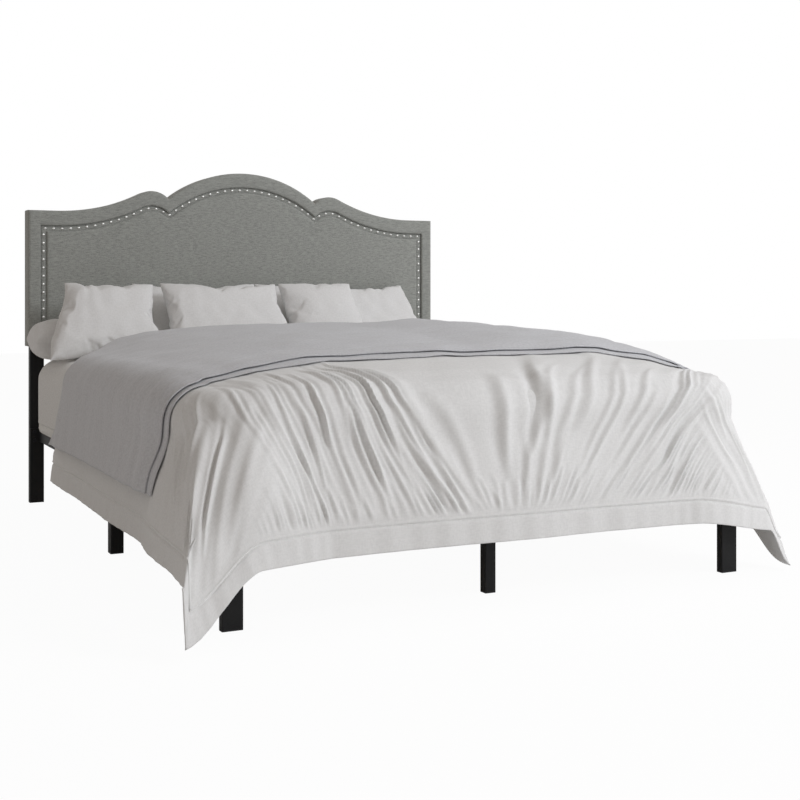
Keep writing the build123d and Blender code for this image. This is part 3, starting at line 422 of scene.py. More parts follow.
def camelback(side_inset, top_inset, bottom, density=1):
    """Open outline of the board from the bottom right, over the crown, to the bottom left."""
    half, shoulder = HALF_BOARD - side_inset, SHOULDER_Z - top_inset
    run, rise = SWEEP_X - EAR_X, SHOULDER_Z - EAR_Z + EAR_RADIUS
    radius = (run**2 + rise**2 - EAR_RADIUS**2) / (2 * (EAR_RADIUS - rise))
    ear = np.array([EAR_X, EAR_Z - top_inset - EAR_RADIUS])
    sweep = np.array([SWEEP_X, shoulder + radius])
    toward = (sweep - ear) / np.linalg.norm(sweep - ear)
    meet = ear + toward * EAR_RADIUS
    down = toward + np.array([0, 1.0])
    middle = sweep - down / np.linalg.norm(down) * radius
    crown, notch = (0.0, CROWN_Z - top_inset), (NOTCH[0], NOTCH[1] - top_inset)
    drop = crown[1] - notch[1]
    crown_radius = (notch[0] ** 2 + drop**2) / (2 * drop)
    turn = math.asin(notch[0] / crown_radius) * np.linspace(0, 1, 24 * density, endpoint=False)
    parts = [
        np.stack([crown_radius * np.sin(turn), crown[1] - crown_radius * (1 - np.cos(turn))], axis=-1),
        arc(notch, (EAR_X, EAR_Z - top_inset), tuple(meet), 12 * density),
        arc(tuple(meet), tuple(middle), (SWEEP_X, shoulder), 20 * density),
        np.linspace((SWEEP_X, shoulder), (half, shoulder), 6 * density, endpoint=False),
        np.linspace((half, shoulder), (half, bottom), 30 * density),
    ]
    right = np.concatenate(parts)
    return np.concatenate([right[::-1], right[1:] * (-1, 1)])


def band(name, profile, bottom, material, density):
    """Closed cover swept round the board: the profile is (inset, depth) pairs from the outline."""
    rings = []
    for inset, depth in profile:
        line = camelback(inset, inset * GROOVE_TOP / GROOVE_SIDE, bottom, density)
        rings.append(np.insert(line, 1, FACE_Y + depth, axis=1))
    grid = np.stack(rings)
    rows, cols = grid.shape[:2]
    quads = grid_quads(rows + 1, cols)
    quads = np.where(quads >= rows * cols, quads - rows * cols, quads)
    return put_mesh(name, grid.reshape(-1, 3), quads, material)


def rounded(corner, start, radius, turn_from, turn_to, count):
    """Points of a rounded edge in a profile's (inset, depth) plane."""
    angles = np.radians(np.linspace(turn_from, turn_to, count))
    return [(corner + radius * math.cos(a), start + radius * math.sin(a)) for a in angles]


def length(name, description, default):
    """A length that the sidebar shows in the scene's units."""
    return bpy.props.FloatProperty(
        name=name, description=description, default=default, unit="LENGTH", subtype="DISTANCE"
    )


class BedBoardSettings(bpy.types.PropertyGroup):
    """Sizes of the headboard's cover and nails."""

    cover: length("Cover", "Thickness of the linen cover", 0.0015)
    nail_width: length("Nail width", "Diameter of a nail's head", 0.0115)
    nail_height: length("Nail height", "Height of a nail's dome", 0.0042)
    nail_count: bpy.props.IntProperty(
        name="Nails", description="Number of nails in the row", default=82, min=2
    )


class BedClothSettings(bpy.types.PropertyGroup):
    """Sizes of the bedding's cloth."""

    fold_depth: length("Fold depth", "Depth of the hanging folds", 0.009)
    crease_depth: length("Crease depth", "Height of the creases at the foot", 0.0065)
    flange: length("Flange", "Width of the flat border outside the duvet's seam", 0.065)
    grid: length("Grid", "Spacing of the cloth's points", 0.0046)


class BedStageSettings(bpy.types.PropertyGroup):
    """Studio: lens and lamps."""

    lens: bpy.props.FloatProperty(name="Lens", description="Focal length", default=60.48, unit="CAMERA")
    key_power: bpy.props.FloatProperty(
        name="Key lamp", description="Power of the lamp in front at the right", default=125.0, unit="POWER"
    )
    fill_power: bpy.props.FloatProperty(
        name="Fill lamp", description="Power of the lamp over the bed", default=22.0, unit="POWER"
    )


class BED_OT_stage(bpy.types.Operator):
    """Makes the floor, the studio light and the camera"""

    bl_idname = "bed.stage"
    bl_label = "Studio"

    def execute(self, context):
        values = context.scene.bed_stage
        made, tree, shader, _ = surface("matt_studio_floor", 0.9)
        shader.inputs["Base Color"].default_value = linear("#fafafa")
        seen = node(tree, "ShaderNodeEmission", {"Color": (1, 1, 1, 1), "Strength": 1.0})
        path = node(tree, "ShaderNodeLightPath")
        share = node(tree, "ShaderNodeMath", {0: path.outputs["Is Camera Ray"], 1: FLOOR_WHITE},
                     operation="MULTIPLY")
        mix = node(
            tree, "ShaderNodeMixShader", {0: share.outputs[0], 1: shader.outputs[0], 2: seen.outputs[0]}
        )
        tree.links.new(mix.outputs[0], tree.nodes["Material Output"].inputs[0])
        reach = 14.0
        corners = [(-reach, -reach, 0), (reach, -reach, 0), (reach, reach, 0), (-reach, reach, 0)]
        floor = put_mesh("studio_floor", corners, [(0, 1, 2, 3)], made, smooth=False)

        world = bpy.data.worlds.new("studio_light")
        context.scene.world = world
        world.use_nodes = True
        tree = world.node_tree
        tree.nodes.clear()
        path = node(tree, "ShaderNodeLightPath")
        seen = path.outputs["Is Camera Ray"]
        for ray in ("Is Glossy Ray", "Is Transmission Ray"):
            either = node(tree, "ShaderNodeMath", {0: seen, 1: path.outputs[ray]}, operation="MAXIMUM")
            seen = either.outputs[0]
        light = node(
            tree, "ShaderNodeBackground", {"Color": linear(AMBIENT_COLOUR), "Strength": AMBIENT_STRENGTH}
        )
        white = node(tree, "ShaderNodeBackground", {"Color": (1, 1, 1, 1), "Strength": 1.0})
        mix = node(tree, "ShaderNodeMixShader", {0: seen, 1: light.outputs[0], 2: white.outputs[0]})
        node(tree, "ShaderNodeOutputWorld", {"Surface": mix.outputs[0]})

        for name, power, size, place, aim in (
            ("key_lamp", values.key_power, 1.8, (3.0, -4.0, 3.0), (0.0, -0.2, 0.5)),
            ("fill_lamp", values.fill_power, 2.4, (2.0, -0.6, 3.6), (0.2, -0.2, 0.6)),
        ):
            lamp = bpy.data.lights.new(name, "AREA")
            lamp.shape, lamp.size, lamp.energy = "SQUARE", size, power
            lamp.color = linear(LAMP_COLOUR)[:3]
            holder = bpy.data.objects.new(name, lamp)
            context.scene.collection.objects.link(holder)
            holder.location = place
            holder.rotation_euler = (Vector(aim) - Vector(place)).to_track_quat("-Z", "Y").to_euler()

        camera = bpy.data.objects.new("camera", bpy.data.cameras.new("camera"))
        context.scene.collection.objects.link(camera)
        camera.data.sensor_width, camera.data.lens = 36.0, values.lens
        camera.location = CAMERA_PLACE
        camera.rotation_euler = (math.radians(90), 0, math.radians(CAMERA_TURN))
        camera.data.shift_x, camera.data.shift_y = CAMERA_SHIFT
        camera.data.clip_end = 100.0
        context.scene.camera = camera
        context.scene.view_settings.view_transform = "Standard"
        return {"FINISHED"}


class BED_OT_frame(bpy.types.Operator):
    """Gives the steel frame, the slats and the headboard's timber their finishes"""

    bl_idname = "bed.frame"
    bl_label = "Frame finishes"

    def execute(self, context):
        steel, plastic, zinc = powder_coat_material(), moulded_plastic_material(), zinc_material()
        slats = timber_material("pine_planed", "#c9a679", "#e3c79c", 6 * MM, 0)
        upright = timber_material("pine_sawn", "#c2a077", "#dcbf95", 7 * MM, 2)
        ply = timber_material("birch_plywood", "#b99567", "#d6b78c", 9 * MM, 0)
        finishes = {
            "zinc_steel": zinc, "black_painted_steel": steel, "black_plastic": plastic, "plywood": ply,
        }
        slot_of = {row["node"]: row["material_slot"] for row in frame["record"]["subparts"]}
        for name, piece in frame["nodes"].items():
            made = finishes.get(slot_of[name])
            if slot_of[name] == "pine":
                made = upright if "stile" in name or "brace" in name else slats
            if made:
                piece.data.materials.clear()
                piece.data.materials.append(made)
        return {"FINISHED"}


class BED_OT_board_cover(bpy.types.Operator):
    """Makes the headboard's linen border, its padded field and the dust cover behind"""

    bl_idname = "bed.board_cover"
    bl_label = "Headboard cover"

    def execute(self, context):
        cover = context.scene.bed_board.cover
        linen = linen_material()
        lip, edge = 0.006, 0.010
        outside = [(GROOVE_SIDE, GROOVE_FLOOR)]
        outside += rounded(GROOVE_SIDE - lip, lip, lip, 0, -90, 6)
        outside += [(inset, 0.0) for inset in (0.033, 0.027, 0.021, 0.015)]
        outside += rounded(edge, edge, edge, -90, -180, 7)
        outside += [(0.0, depth) for depth in (0.02, 0.035, 0.05, 0.065, BOARD_BACK)] + [(0.004, 0.0738)]
        inside = [(0.004, 0.0722), (cover, 0.072), (cover, 0.04)]
        inside += rounded(edge, edge, edge - cover, -180, -90, 5)
        inside += rounded(GROOVE_SIDE - lip, lip, lip - cover, -90, 0, 4)
        inside += [(GROOVE_SIDE - cover, GROOVE_FLOOR)]
        border = band("headboard_border", outside + inside, BOARD_BOTTOM, linen, 2)
        turn_out(border, fill=True)
        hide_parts("headboard_border_cover", "headboard_border_foam")
        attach(border, "frame")

        field = self.field(linen, cover)
        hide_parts("headboard_field_cover", "headboard_field_foam")
        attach(field, "frame")

        back = self.dust_cover()
        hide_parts("headboard_dust_cover")
        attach(back, "frame")
        return {"FINISHED"}

    def columns(self, half, step):
        """Places across the board, closer together near its sides."""
        middle = np.arange(-half + 0.018, half - 0.018, step)
        return np.concatenate([-half + EDGE_STEPS, middle, (half - EDGE_STEPS)[::-1]])

    def top_of(self, x, side_inset, top_inset):
        """Height of the outline above each place across the board."""
        line = camelback(side_inset, top_inset, BOARD_BOTTOM, 4)
        inner = line[np.abs(line[:, 0]) <= HALF_BOARD - side_inset + 1e-9]
        right = inner[(inner[:, 0] >= 0) & (inner[:, 1] > SHOULDER_Z - top_inset - 1e-6)]
        order = np.argsort(right[:, 0])
        return np.interp(np.abs(x), right[order, 0], right[order, 1])

    def field(self, linen, cover):
        """The padded field, rounded off at its edges, and the lining of the groove round it."""
        half = HALF_BOARD - FIELD_SIDE
        x = self.columns(half, 0.009)
        top = self.top_of(x, FIELD_SIDE, FIELD_TOP)
        shares = np.linspace(0, 1, 58)
        bottom = BOARD_BOTTOM + 1.8 * MM
        low, high = bottom + EDGE_STEPS[-1] + 0.004, top - EDGE_STEPS[-1] - 0.004
        rows = [np.full_like(x, bottom + step) for step in EDGE_STEPS]
        rows += [low + (high - low) * share for share in shares]
        rows += [top - step for step in EDGE_STEPS[::-1]]
        z = np.stack(rows)
        xx = np.broadcast_to(x, z.shape)
        slope = np.gradient(top, x)
        inward = np.minimum(half - np.abs(xx), (top - z) / np.sqrt(1 + slope**2))
        inward = np.minimum(inward, z - bottom)
        edge_radius, edge_rise = 0.008, 0.0095
        round_off = 1 - np.clip(inward / edge_radius, 0, 1)
        rise = edge_rise * np.sqrt(1 - round_off**2)
        swell = 0.0012 * (1 - np.exp(-inward / 0.03)) * (1 + 0.6 * noise(xx * 9, z * 9, 3))
        dimple = 0.0011 * np.exp(-inward / 0.02) * noise(xx / 0.045, z / 0.045, 4)
        depth = GROOVE_FLOOR - rise - swell - dimple
        grid = np.stack([xx, FACE_Y + depth, z], axis=-1)
        level = np.full_like(x, BOARD_BOTTOM + 0.4 * MM)
        under = [np.stack([x, np.full_like(x, FACE_Y + d), level], axis=-1)
                 for d in (BOARD_BACK, 0.05, 0.025, 0.0125)]
        grid = np.concatenate([np.stack(under), grid])
        piece = put_mesh("headboard_field", grid.reshape(-1, 3), grid_quads(*grid.shape[:2]), linen)
        rings = []
        for side in (GROOVE_SIDE - 0.001, NAIL_SIDE, FIELD_SIDE + 0.002):
            line = camelback(side, side * GROOVE_TOP / GROOVE_SIDE, BOARD_BOTTOM, 2)
            rings.append(np.insert(line, 1, FACE_Y + LINING_DEPTH, axis=1))
        rings = np.stack(rings)
        lining = put_mesh("groove_lining", rings.reshape(-1, 3), grid_quads(*rings.shape[:2]), linen)
        join_in(piece, lining)
        thick = piece.modifiers.new("thickness", "SOLIDIFY")
        thick.thickness, thick.offset = cover * 0.8, -1
        return piece

    def dust_cover(self):
        """The black cloth stretched over the board's back."""
        inset = 0.003
        half = HALF_BOARD - inset
        x = self.columns(half, 0.02)
        top = self.top_of(x, inset, inset)
        bottom = BOARD_BOTTOM + inset
        shares = np.linspace(0, 1, 40)[:, None]
        z = bottom + (top - bottom) * shares
        xx = np.broadcast_to(x, z.shape)
        held = np.clip(np.minimum(half - np.abs(xx), z - bottom) / 0.05, 0, 1)
        sag = 0.0008 * noise(xx / 0.11, z / 0.16, 8) * held
        outer = np.stack([xx, FACE_Y + DUST_BACK - np.abs(sag), z], axis=-1)
        inner = outer - (0, 0.0009, 0)
        flat = np.stack([xx, z], axis=-1)
        return shell("headboard_dust_cloth", outer[:, ::-1], inner[:, ::-1], nonwoven_material(), flat)


def lathe_nail(width, height, shank):
    """Domed nail head with a thin rim and a shank, its dome up along Z, of 108 faces."""
    angles = np.radians(np.linspace(0, 76, 5))
    radius = width / 2
    widest, whole = math.sin(angles[-1]), 1 - math.cos(angles[-1])
    rings = [(radius * math.sin(a) / widest, height * (1 - (1 - math.cos(a)) / whole)) for a in angles[1:]]
    rings += [(radius, -0.0004), (radius * 0.8, -0.0004), (0.0011, -0.0006), (0.0011, -shank)]
    sides = 12
    turn = np.arange(sides) / sides * 2 * np.pi
    points = [(0, 0, height)] + [(r * math.cos(t), r * math.sin(t), z) for r, z in rings for t in turn]
    points.append((0, 0, -shank))
    steps = [(i, (i + 1) % sides) for i in range(sides)]
    faces = [(0, 1 + i, 1 + j) for i, j in steps]
    for a in range(1, 1 + (len(rings) - 1) * sides, sides):
        faces += [(a + i, a + sides + i, a + sides + j, a + j) for i, j in steps]
    a = 1 + (len(rings) - 1) * sides
    faces += [(len(points) - 1, a + j, a + i) for i, j in steps]
    mesh = bpy.data.meshes.new("nail_form")
    mesh.from_pydata(points, [], faces)
    mesh.polygons.foreach_set("use_smooth", [True] * len(faces))
    return bpy.data.objects.new("nail_form", mesh)


class BED_OT_nails(bpy.types.Operator):
    """Sets the row of domed nails along the groove with Geometry Nodes"""

    bl_idname = "bed.nails"
    bl_label = "Nails"

    def execute(self, context):
        values = context.scene.bed_board
        line = camelback(NAIL_SIDE, NAIL_TOP, BOARD_BOTTOM, 3)
        points = [(x, FACE_Y + NAIL_SEAT, z) for x, z in line]
        mesh = bpy.data.meshes.new("headboard_nail_row")
        mesh.from_pydata(points, [(i, i + 1) for i in range(len(points) - 1)], [])
        row = bpy.data.objects.new("headboard_nail_row", mesh)
        context.scene.collection.objects.link(row)
        row_length = sum(math.dist(a, b) for a, b in zip(points, points[1:]))

        tree = bpy.data.node_groups.new("nail_row", "GeometryNodeTree")
        sockets = {}
        tree.interface.new_socket("Geometry", in_out="INPUT", socket_type="NodeSocketGeometry")
        for label, kind in (
            ("Nail", "Object"), ("Count", "Int"), ("End gap", "Float"), ("Row length", "Float"),
            ("Tilt", "Float"), ("Seed", "Int"), ("Finish", "Material"),
        ):
            sockets[label] = tree.interface.new_socket(label, in_out="INPUT", socket_type="NodeSocket" + kind)
        tree.interface.new_socket("Geometry", in_out="OUTPUT", socket_type="NodeSocketGeometry")
        given = node(tree, "NodeGroupInput").outputs
        curve = node(tree, "GeometryNodeMeshToCurve", {"Mesh": given["Geometry"]})
        ends = {0: given["Row length"], 1: given["End gap"]}
        stop = node(tree, "ShaderNodeMath", ends, operation="SUBTRACT")
        trim = node(tree, "GeometryNodeTrimCurve", {"Curve": curve.outputs[0]}, mode="LENGTH")
        tree.links.new(given["End gap"], trim.inputs[4])
        tree.links.new(stop.outputs[0], trim.inputs[5])
        spots = node(tree, "GeometryNodeResampleCurve", {"Curve": trim.outputs[0], "Count": given["Count"]})
        form = node(tree, "GeometryNodeObjectInfo", {"Object": given["Nail"]})
        lower = node(tree, "ShaderNodeMath", {0: 0.0, 1: given["Tilt"]}, operation="SUBTRACT")
        high = node(tree, "ShaderNodeCombineXYZ", dict.fromkeys(range(3), given["Tilt"]))
        low = node(tree, "ShaderNodeCombineXYZ", dict.fromkeys(range(3), lower.outputs[0]))
        span = {0: low.outputs[0], 1: high.outputs[0], "Seed": given["Seed"]}
        lean = node(tree, "FunctionNodeRandomValue", span, data_type="FLOAT_VECTOR")
        upright = {0: lean.outputs[0], 1: (math.radians(90), 0, 0)}
        turned = node(tree, "ShaderNodeVectorMath", upright, operation="ADD")
        nails = node(
            tree, "GeometryNodeInstanceOnPoints",
            {"Points": spots.outputs[0], "Instance": form.outputs["Geometry"], "Rotation": turned.outputs[0]},
        )
        real = node(tree, "GeometryNodeRealizeInstances", {"Geometry": nails.outputs[0]})
        dressed = {"Geometry": real.outputs[0], "Material": given["Finish"]}
        finish = node(tree, "GeometryNodeSetMaterial", dressed)
        node(tree, "NodeGroupOutput", {"Geometry": finish.outputs[0]})

        form = lathe_nail(values.nail_width, values.nail_height, 0.012)
        work = row.modifiers.new("nails", "NODES")
        work.node_group = tree
        for label, value in (
            ("Nail", form), ("Count", values.nail_count), ("End gap", row_length / values.nail_count / 2),
            ("Row length", row_length), ("Tilt", math.radians(4)), ("Seed", 5), ("Finish", nickel_material()),
        ):
            work[sockets[label].identifier] = value
        row.data = plain_mesh(row)
        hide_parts("headboard_nails")
        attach(row, "frame")
        return {"FINISHED"}


def plain_mesh(piece):
    """A piece's evaluated mesh, with its modifiers taken off."""
    context = bpy.context
    context.view_layer.update()
    ready = piece.evaluated_get(context.evaluated_depsgraph_get())
    mesh = bpy.data.meshes.new_from_object(ready)
    piece.modifiers.clear()
    return mesh


def rounded_ring(half_x, near, far, corner, count):
    """Rounded rectangle seen from above: half width, distances of its ends, foot corners' radius.

    The corners at the head have half that radius."""
    points = []
    corners = {1: corner / 2, -1: corner}
    for sx, sy, turn in ((1, 1, 0), (-1, 1, 90), (-1, -1, 180), (1, -1, 270)):
        corner = corners[sy]
        cx = sx * (half_x - corner)
        cy = (FACE_Y - near - corner) if sy > 0 else (FACE_Y - far + corner)
        for a in np.radians(turn + np.linspace(0, 90, count)):
            points.append((cx + corner * math.cos(a), cy + corner * math.sin(a)))
    return np.array(points)


def even_ring(ring, count):
    """The same closed line with evenly spaced points."""
    loop = np.concatenate([ring, ring[:1]])
    reach = np.concatenate([[0], np.cumsum(np.linalg.norm(np.diff(loop, axis=0), axis=1))])
    spots = np.linspace(0, reach[-1], count, endpoint=False)
    return np.stack([np.interp(spots, reach, loop[:, k]) for k in (0, 1)], axis=-1)


def block(name, levels, half_x, near, far, corner, count, material, shape=None):
    """Closed rounded block from levels of (inset, height), bottom to top, filled at both ends."""
    rings = []
    for inset, height in levels:
        ring = rounded_ring(half_x - inset, near + inset, far - inset, max(corner - inset, 0.004), 8)
        ring = even_ring(ring, count)
        rings.append(np.insert(ring, 2, height, axis=1))
    grid = np.stack(rings)
    if shape:
        grid = shape(grid)
    quads = grid_quads(*grid.shape[:2], wrap=True)
    reach = np.concatenate([[0], np.cumsum(np.linalg.norm(np.diff(grid[:, 0], axis=0), axis=1))])
    flat = np.stack(np.broadcast_arrays(np.linspace(0, BLOCK_ROUND, count)[None], reach[:, None]), axis=-1)
    return put_mesh(name, grid.reshape(-1, 3), quads, material, flat.reshape(-1, 2))


class BED_OT_mattress(bpy.types.Operator):
    """Makes the mattress and the fitted sheet stretched over it"""

    bl_idname = "bed.mattress"
    bl_label = "Mattress and sheet"

    def execute(self, context):
        low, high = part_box("mattress")
        ticking = woven("knitted_ticking", "#dcdcd8", "#efefec", 5 * MM, 0.8 * MM, 0.8, 0.1)
        levels = [(0.30, low.z + 0.001), (0.10, low.z), (0.03, low.z)]
        levels += [(MATTRESS_BASE_EDGE * (1 - math.sin(a)), low.z + MATTRESS_BASE_EDGE * (1 - math.cos(a)))
                   for a in np.radians((0, 30, 60, 90))]
        levels += [(-0.0012, low.z + 0.02), (0.0, low.z + 0.024), (0.0, low.z + 0.12), (0.0, high.z - 0.077)]
        levels += [(MATTRESS_EDGE * (1 - math.cos(a)), high.z - MATTRESS_EDGE * (1 - math.sin(a)))
                   for a in np.radians((12, 28, 44, 60, 75, 90))]
        levels += [(0.10, high.z), (0.30, high.z)]
        near, far = FACE_Y - high.y, FACE_Y - low.y
        piece = block("mattress_block", levels, high.x, near, far, MATTRESS_CORNER, 300, ticking)
        turn_out(piece, fill=True)
        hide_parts("mattress")
        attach(piece, "bedding")

        low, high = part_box("fitted_sheet")
        cotton = cotton_material("sheet_percale_cotton", "#dbdad8", "#ececea")
        levels = [(0.0005, low.z), (-0.0008, low.z + 0.006), (0.0, low.z + 0.014)]
        levels += [(0.0, z) for z in np.linspace(low.z + 0.02, high.z - 0.08, 20)]
        levels += [(SHEET_EDGE * (1 - math.cos(a)), high.z - SHEET_EDGE * (1 - math.sin(a)))
                   for a in np.radians(np.linspace(6, 90, 14))]
        levels += [(inset, high.z) for inset in np.geomspace(0.09, 0.7, 56)]

        def shape(grid):
            """The sheet's gathered hem, its drag down the sides and its pulls across the top."""
            z = grid[..., 2]
            run = np.arange(grid.shape[1]) / grid.shape[1] * BLOCK_ROUND
            side = smooth_step(high.z - z, 0.03, 0.08)
            hem = smooth_step(low.z + 0.10 - z, 0.0, 0.10)
            ripple = 0.0016 * noise(run[None] / 0.035 + 0 * z, z / 0.25, 21) * hem
            drag = 0.0014 * noise(run[None] / 0.11 + 0 * z, z / 0.3, 22) * side
            middle = np.array([0.0, FACE_Y - (near + far) / 2])
            away = grid[..., :2] - middle
            away /= np.linalg.norm(away, axis=-1, keepdims=True)
            grid[..., :2] -= away * (np.abs(ripple) + np.abs(drag))[..., None]
            pulls = 0.0012 * noise(grid[..., 0] / 0.09, grid[..., 1] / 0.2, 23)
            grid[..., 2] -= np.abs(pulls) * (1 - side)
            return grid

        ends = near - 0.002, far + 0.002
        piece = block("fitted_sheet_cloth", levels, high.x, *ends, SHEET_CORNER, 700, cotton, shape)
        fill_top(piece)
        thick = piece.modifiers.new("thickness", "SOLIDIFY")
        thick.thickness, thick.offset = 0.0012, -1
        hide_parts("fitted_sheet")
        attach(piece, "bedding")
        return {"FINISHED"}


def fill_top(piece):
    """Fills the highest open edge of a piece and leaves its lower one open."""
    work = bmesh.new()
    work.from_mesh(piece.data)
    top = max(v.co.z for v in work.verts)
    edges = [e for e in work.edges if e.is_boundary and min(v.co.z for v in e.verts) > top - 0.05]
    bmesh.ops.holes_fill(work, edges=edges)
    bmesh.ops.triangulate(work, faces=[f for f in work.faces if len(f.verts) > 4])
    work.to_mesh(piece.data)
    work.free()


def dome(x, distance):
    """Height of the duvet's top at a place on the bed."""
    rise = np.zeros_like(x)
    last = None
    along = np.clip((distance - DUVET_HEAD) / (DUVET_FOOT - DUVET_HEAD), 0, 1)
    for share, head_inset, side_inset, foot_inset in CROWN_LEVELS:
        half = DUVET_HALF * (1 - head_inset - (side_inset - head_inset) * along)
        reach = np.maximum(distance - DUVET_HEAD, 0) / ((DUVET_FOOT - DUVET_HEAD) * (1 - foot_inset))
        out = ((np.abs(x) / half) ** CROWN_SQUARENESS + reach**CROWN_SQUARENESS) ** (1 / CROWN_SQUARENESS)
        if last is not None:
            part = np.clip((1 - last[1]) / np.maximum(out - last[1], 1e-9), 0, 1)
            rise = np.where(last[1] <= 1, last[0] + (share - last[0]) * np.where(out <= 1, 1, part), rise)
        last = (share, out)
    right = smooth_step(x, *RIGHT_RISE) * (1 - smooth_step(x, *RIGHT_FALL))
    right *= smooth_step(distance, *RIGHT_START) * (1 - smooth_step(distance, *RIGHT_END))
    return DUVET_SHOULDER + (DUVET_CROWN - DUVET_SHOULDER) * rise + RIGHT_FULLNESS * right


def sheet_height(x, distance):
    """Height of the fitted sheet's rounded top, and how far inside its sides a place is."""
    over_x, over_d = np.abs(x) - (SHEET_HALF - SHEET_CORNER), distance - (SHEET_FOOT - SHEET_CORNER)
    out = np.hypot(np.maximum(over_x, 0), np.maximum(over_d, 0)) + np.minimum(np.maximum(over_x, over_d), 0)
    inside = SHEET_CORNER - out
    left = 1 - np.clip(inside / SHEET_EDGE, 0, 1)
    return SHEET_TOP - SHEET_EDGE * (1 - np.sqrt(1 - left**2)), inside


def over_sheet(points, gap):
    """Moves points out to a gap from the fitted sheet where they are nearer, or inside it."""
    x, d = np.abs(points[..., 0]), FACE_Y - points[..., 1]
    side = np.maximum(x - (SHEET_HALF - SHEET_CORNER), 0)
    foot = np.maximum(d - (SHEET_FOOT - SHEET_CORNER), 0)
    plan = np.hypot(side, foot)
    over = np.maximum(plan - SHEET_CORNER + SHEET_EDGE, 0)
    up = np.maximum(points[..., 2] - SHEET_TOP + SHEET_EDGE, 0)
    reach = np.maximum(np.hypot(over, up), 1e-9)
    short = gap - (reach - SHEET_EDGE)
    move = 0.5 * (short + np.sqrt(short**2 + GAP_SOFTNESS**2)) * (np.maximum(over, up) > 0)
    level = move * over / reach / np.maximum(plan, 1e-9)
    shift = np.stack([np.sign(points[..., 0]) * side * level, -foot * level, move * up / reach], axis=-1)
    return points + shift


def draped(across, along, folds):
    """Places of flat cloth draped on the bed; across and along are its flat coordinates.

    The top nearly keeps them. Beyond an edge the cloth hangs, and at a corner it swings out to a tip."""
    hang = DUVET_SHOULDER - DUVET_HEM
    core_x, core_d = DUVET_HALF - CORNER_ROUND, DUVET_FOOT - CORNER_ROUND
    dx, dd = np.maximum(np.abs(across) - core_x, 0), np.maximum(along - core_d, 0)
    out = np.hypot(dx, dd)
    drop = np.maximum(out - CORNER_ROUND, 0)
    turn = np.arctan2(dd, np.maximum(dx, 1e-9))
    side = np.where(across < 0, -1.0, 1.0)
    hanging = drop > 0
    # Distance along the hanging cloth from the corner's middle, as a share of the run
    polar = (CORNER_ROUND + drop) * np.pi / 4
    straight = CORNER_RUN - CORNER_ROUND
    beyond = np.where(dd <= 0, np.clip(core_d - along, 0, straight), 0)
    beyond = beyond + np.where(dx <= 0, np.clip(core_x - np.abs(across), 0, straight), 0)
    from_tip = np.abs(turn - np.pi / 4) / (np.pi / 4) * polar + beyond
    share = np.clip(from_tip / (polar + straight), 0, 1)
    footward = turn > np.pi / 4
    body = share * (CORNER_ROUND * np.pi / 4 + straight)
    angle = np.pi / 4 - np.where(footward, -1, 1) * np.minimum(body / CORNER_ROUND, np.pi / 4)
    rest = np.maximum(body - CORNER_ROUND * np.pi / 4, 0)
    near = share < 1 - 1e-6
    px = np.where(footward, np.abs(across), DUVET_HALF)
    px = np.where(near, core_x + CORNER_ROUND * np.cos(angle) - np.where(footward, rest, 0), px)
    pd = np.where(footward, DUVET_FOOT, along)
    pd = np.where(near, core_d + CORNER_ROUND * np.sin(angle) - np.where(footward, 0, rest), pd)
    nx = np.where(near, np.cos(angle), np.where(footward, 0.0, 1.0))
    nd = np.where(near, np.sin(angle), np.where(footward, 1.0, 0.0))
    hem_drop = (CORNER_ROUND + hang) / np.maximum(np.cos(turn), np.sin(turn)) - CORNER_ROUND
    depth = drop / hem_drop
    flare = np.where(footward, FOOT_FLARE, SIDE_FLARE) * depth**FLARE_CURVE
    run = np.where(footward, across / 0.30 + 40, along / 0.34 + side * 7)
    wave = 1.2 * folds * depth * noise(run, drop / 0.6, 31)
    roll = SHOULDER_ROLL * (0.4 + 0.6 * smooth_step(along, 0.8, 1.8))
    rolled = roll * (1 - smooth_step(depth, 0.0, 0.85))
    px, pd = px + nx * (flare + wave - rolled), pd + nd * (flare + wave - rolled)
    drawn = roll * smooth_step(out, 0.0, CORNER_ROUND) / np.maximum(out, 1e-9)
    top_x, top_d = np.abs(across) - dx * drawn, along - dd * drawn
    tip_drop = (CORNER_ROUND + hang) * math.sqrt(2) - CORNER_ROUND
    reach = np.clip(drop / tip_drop, 0, 1)
    pull = (1 - share) ** TIP_SPREAD * reach**TIP_GROWTH
    fall = drop.copy()
    past = np.where(footward, body, -body) - FOLD_PLACE
    slope = np.where(past < 0, FOLD_SIDEWARD, FOLD_FOOTWARD)
    fold = FOLD_OUT * (1 - np.clip(np.hypot(past, FOLD_CREST) / slope, 0, 1))
    fold *= smooth_step(depth, -0.1, 0.4) * (1 - smooth_step(depth, 0.45, 0.85)) * (side < 0) * near
    px, pd = px + nx * fold, pd + nd * fold
    for hand, (tip_x, tip_d, tip_z, drops) in TIPS.items():
        mine = hanging & (side == hand)
        out_x = tip_x - core_x - CORNER_ROUND * math.sqrt(0.5) - TIP_SLACK_X
        out_d = tip_d - core_d - CORNER_ROUND * math.sqrt(0.5) - TIP_SLACK_D
        px = np.where(mine, px + out_x * pull, px)
        pd = np.where(mine, pd + out_d * pull, pd)
        for part, level, drop_shape in zip((~footward, footward), (SIDE_HEM, DUVET_HEM), drops):
            steep, close, wide = drop_shape
            dropped = 1 - steep * smooth_step(share, 0, close) - (1 - steep) * smooth_step(share, 0, wide)
            hem_z = level + (tip_z - level) * dropped
            fall = np.where(mine & part, depth * (DUVET_SHOULDER - hem_z), fall)
    x = side * np.where(hanging, px, top_x)
    d = np.where(hanging, pd, top_d)
    z = np.where(hanging, DUVET_SHOULDER - fall, dome(across, np.minimum(along, DUVET_FOOT)))
    return np.stack([x, FACE_Y - d, z], axis=-1)


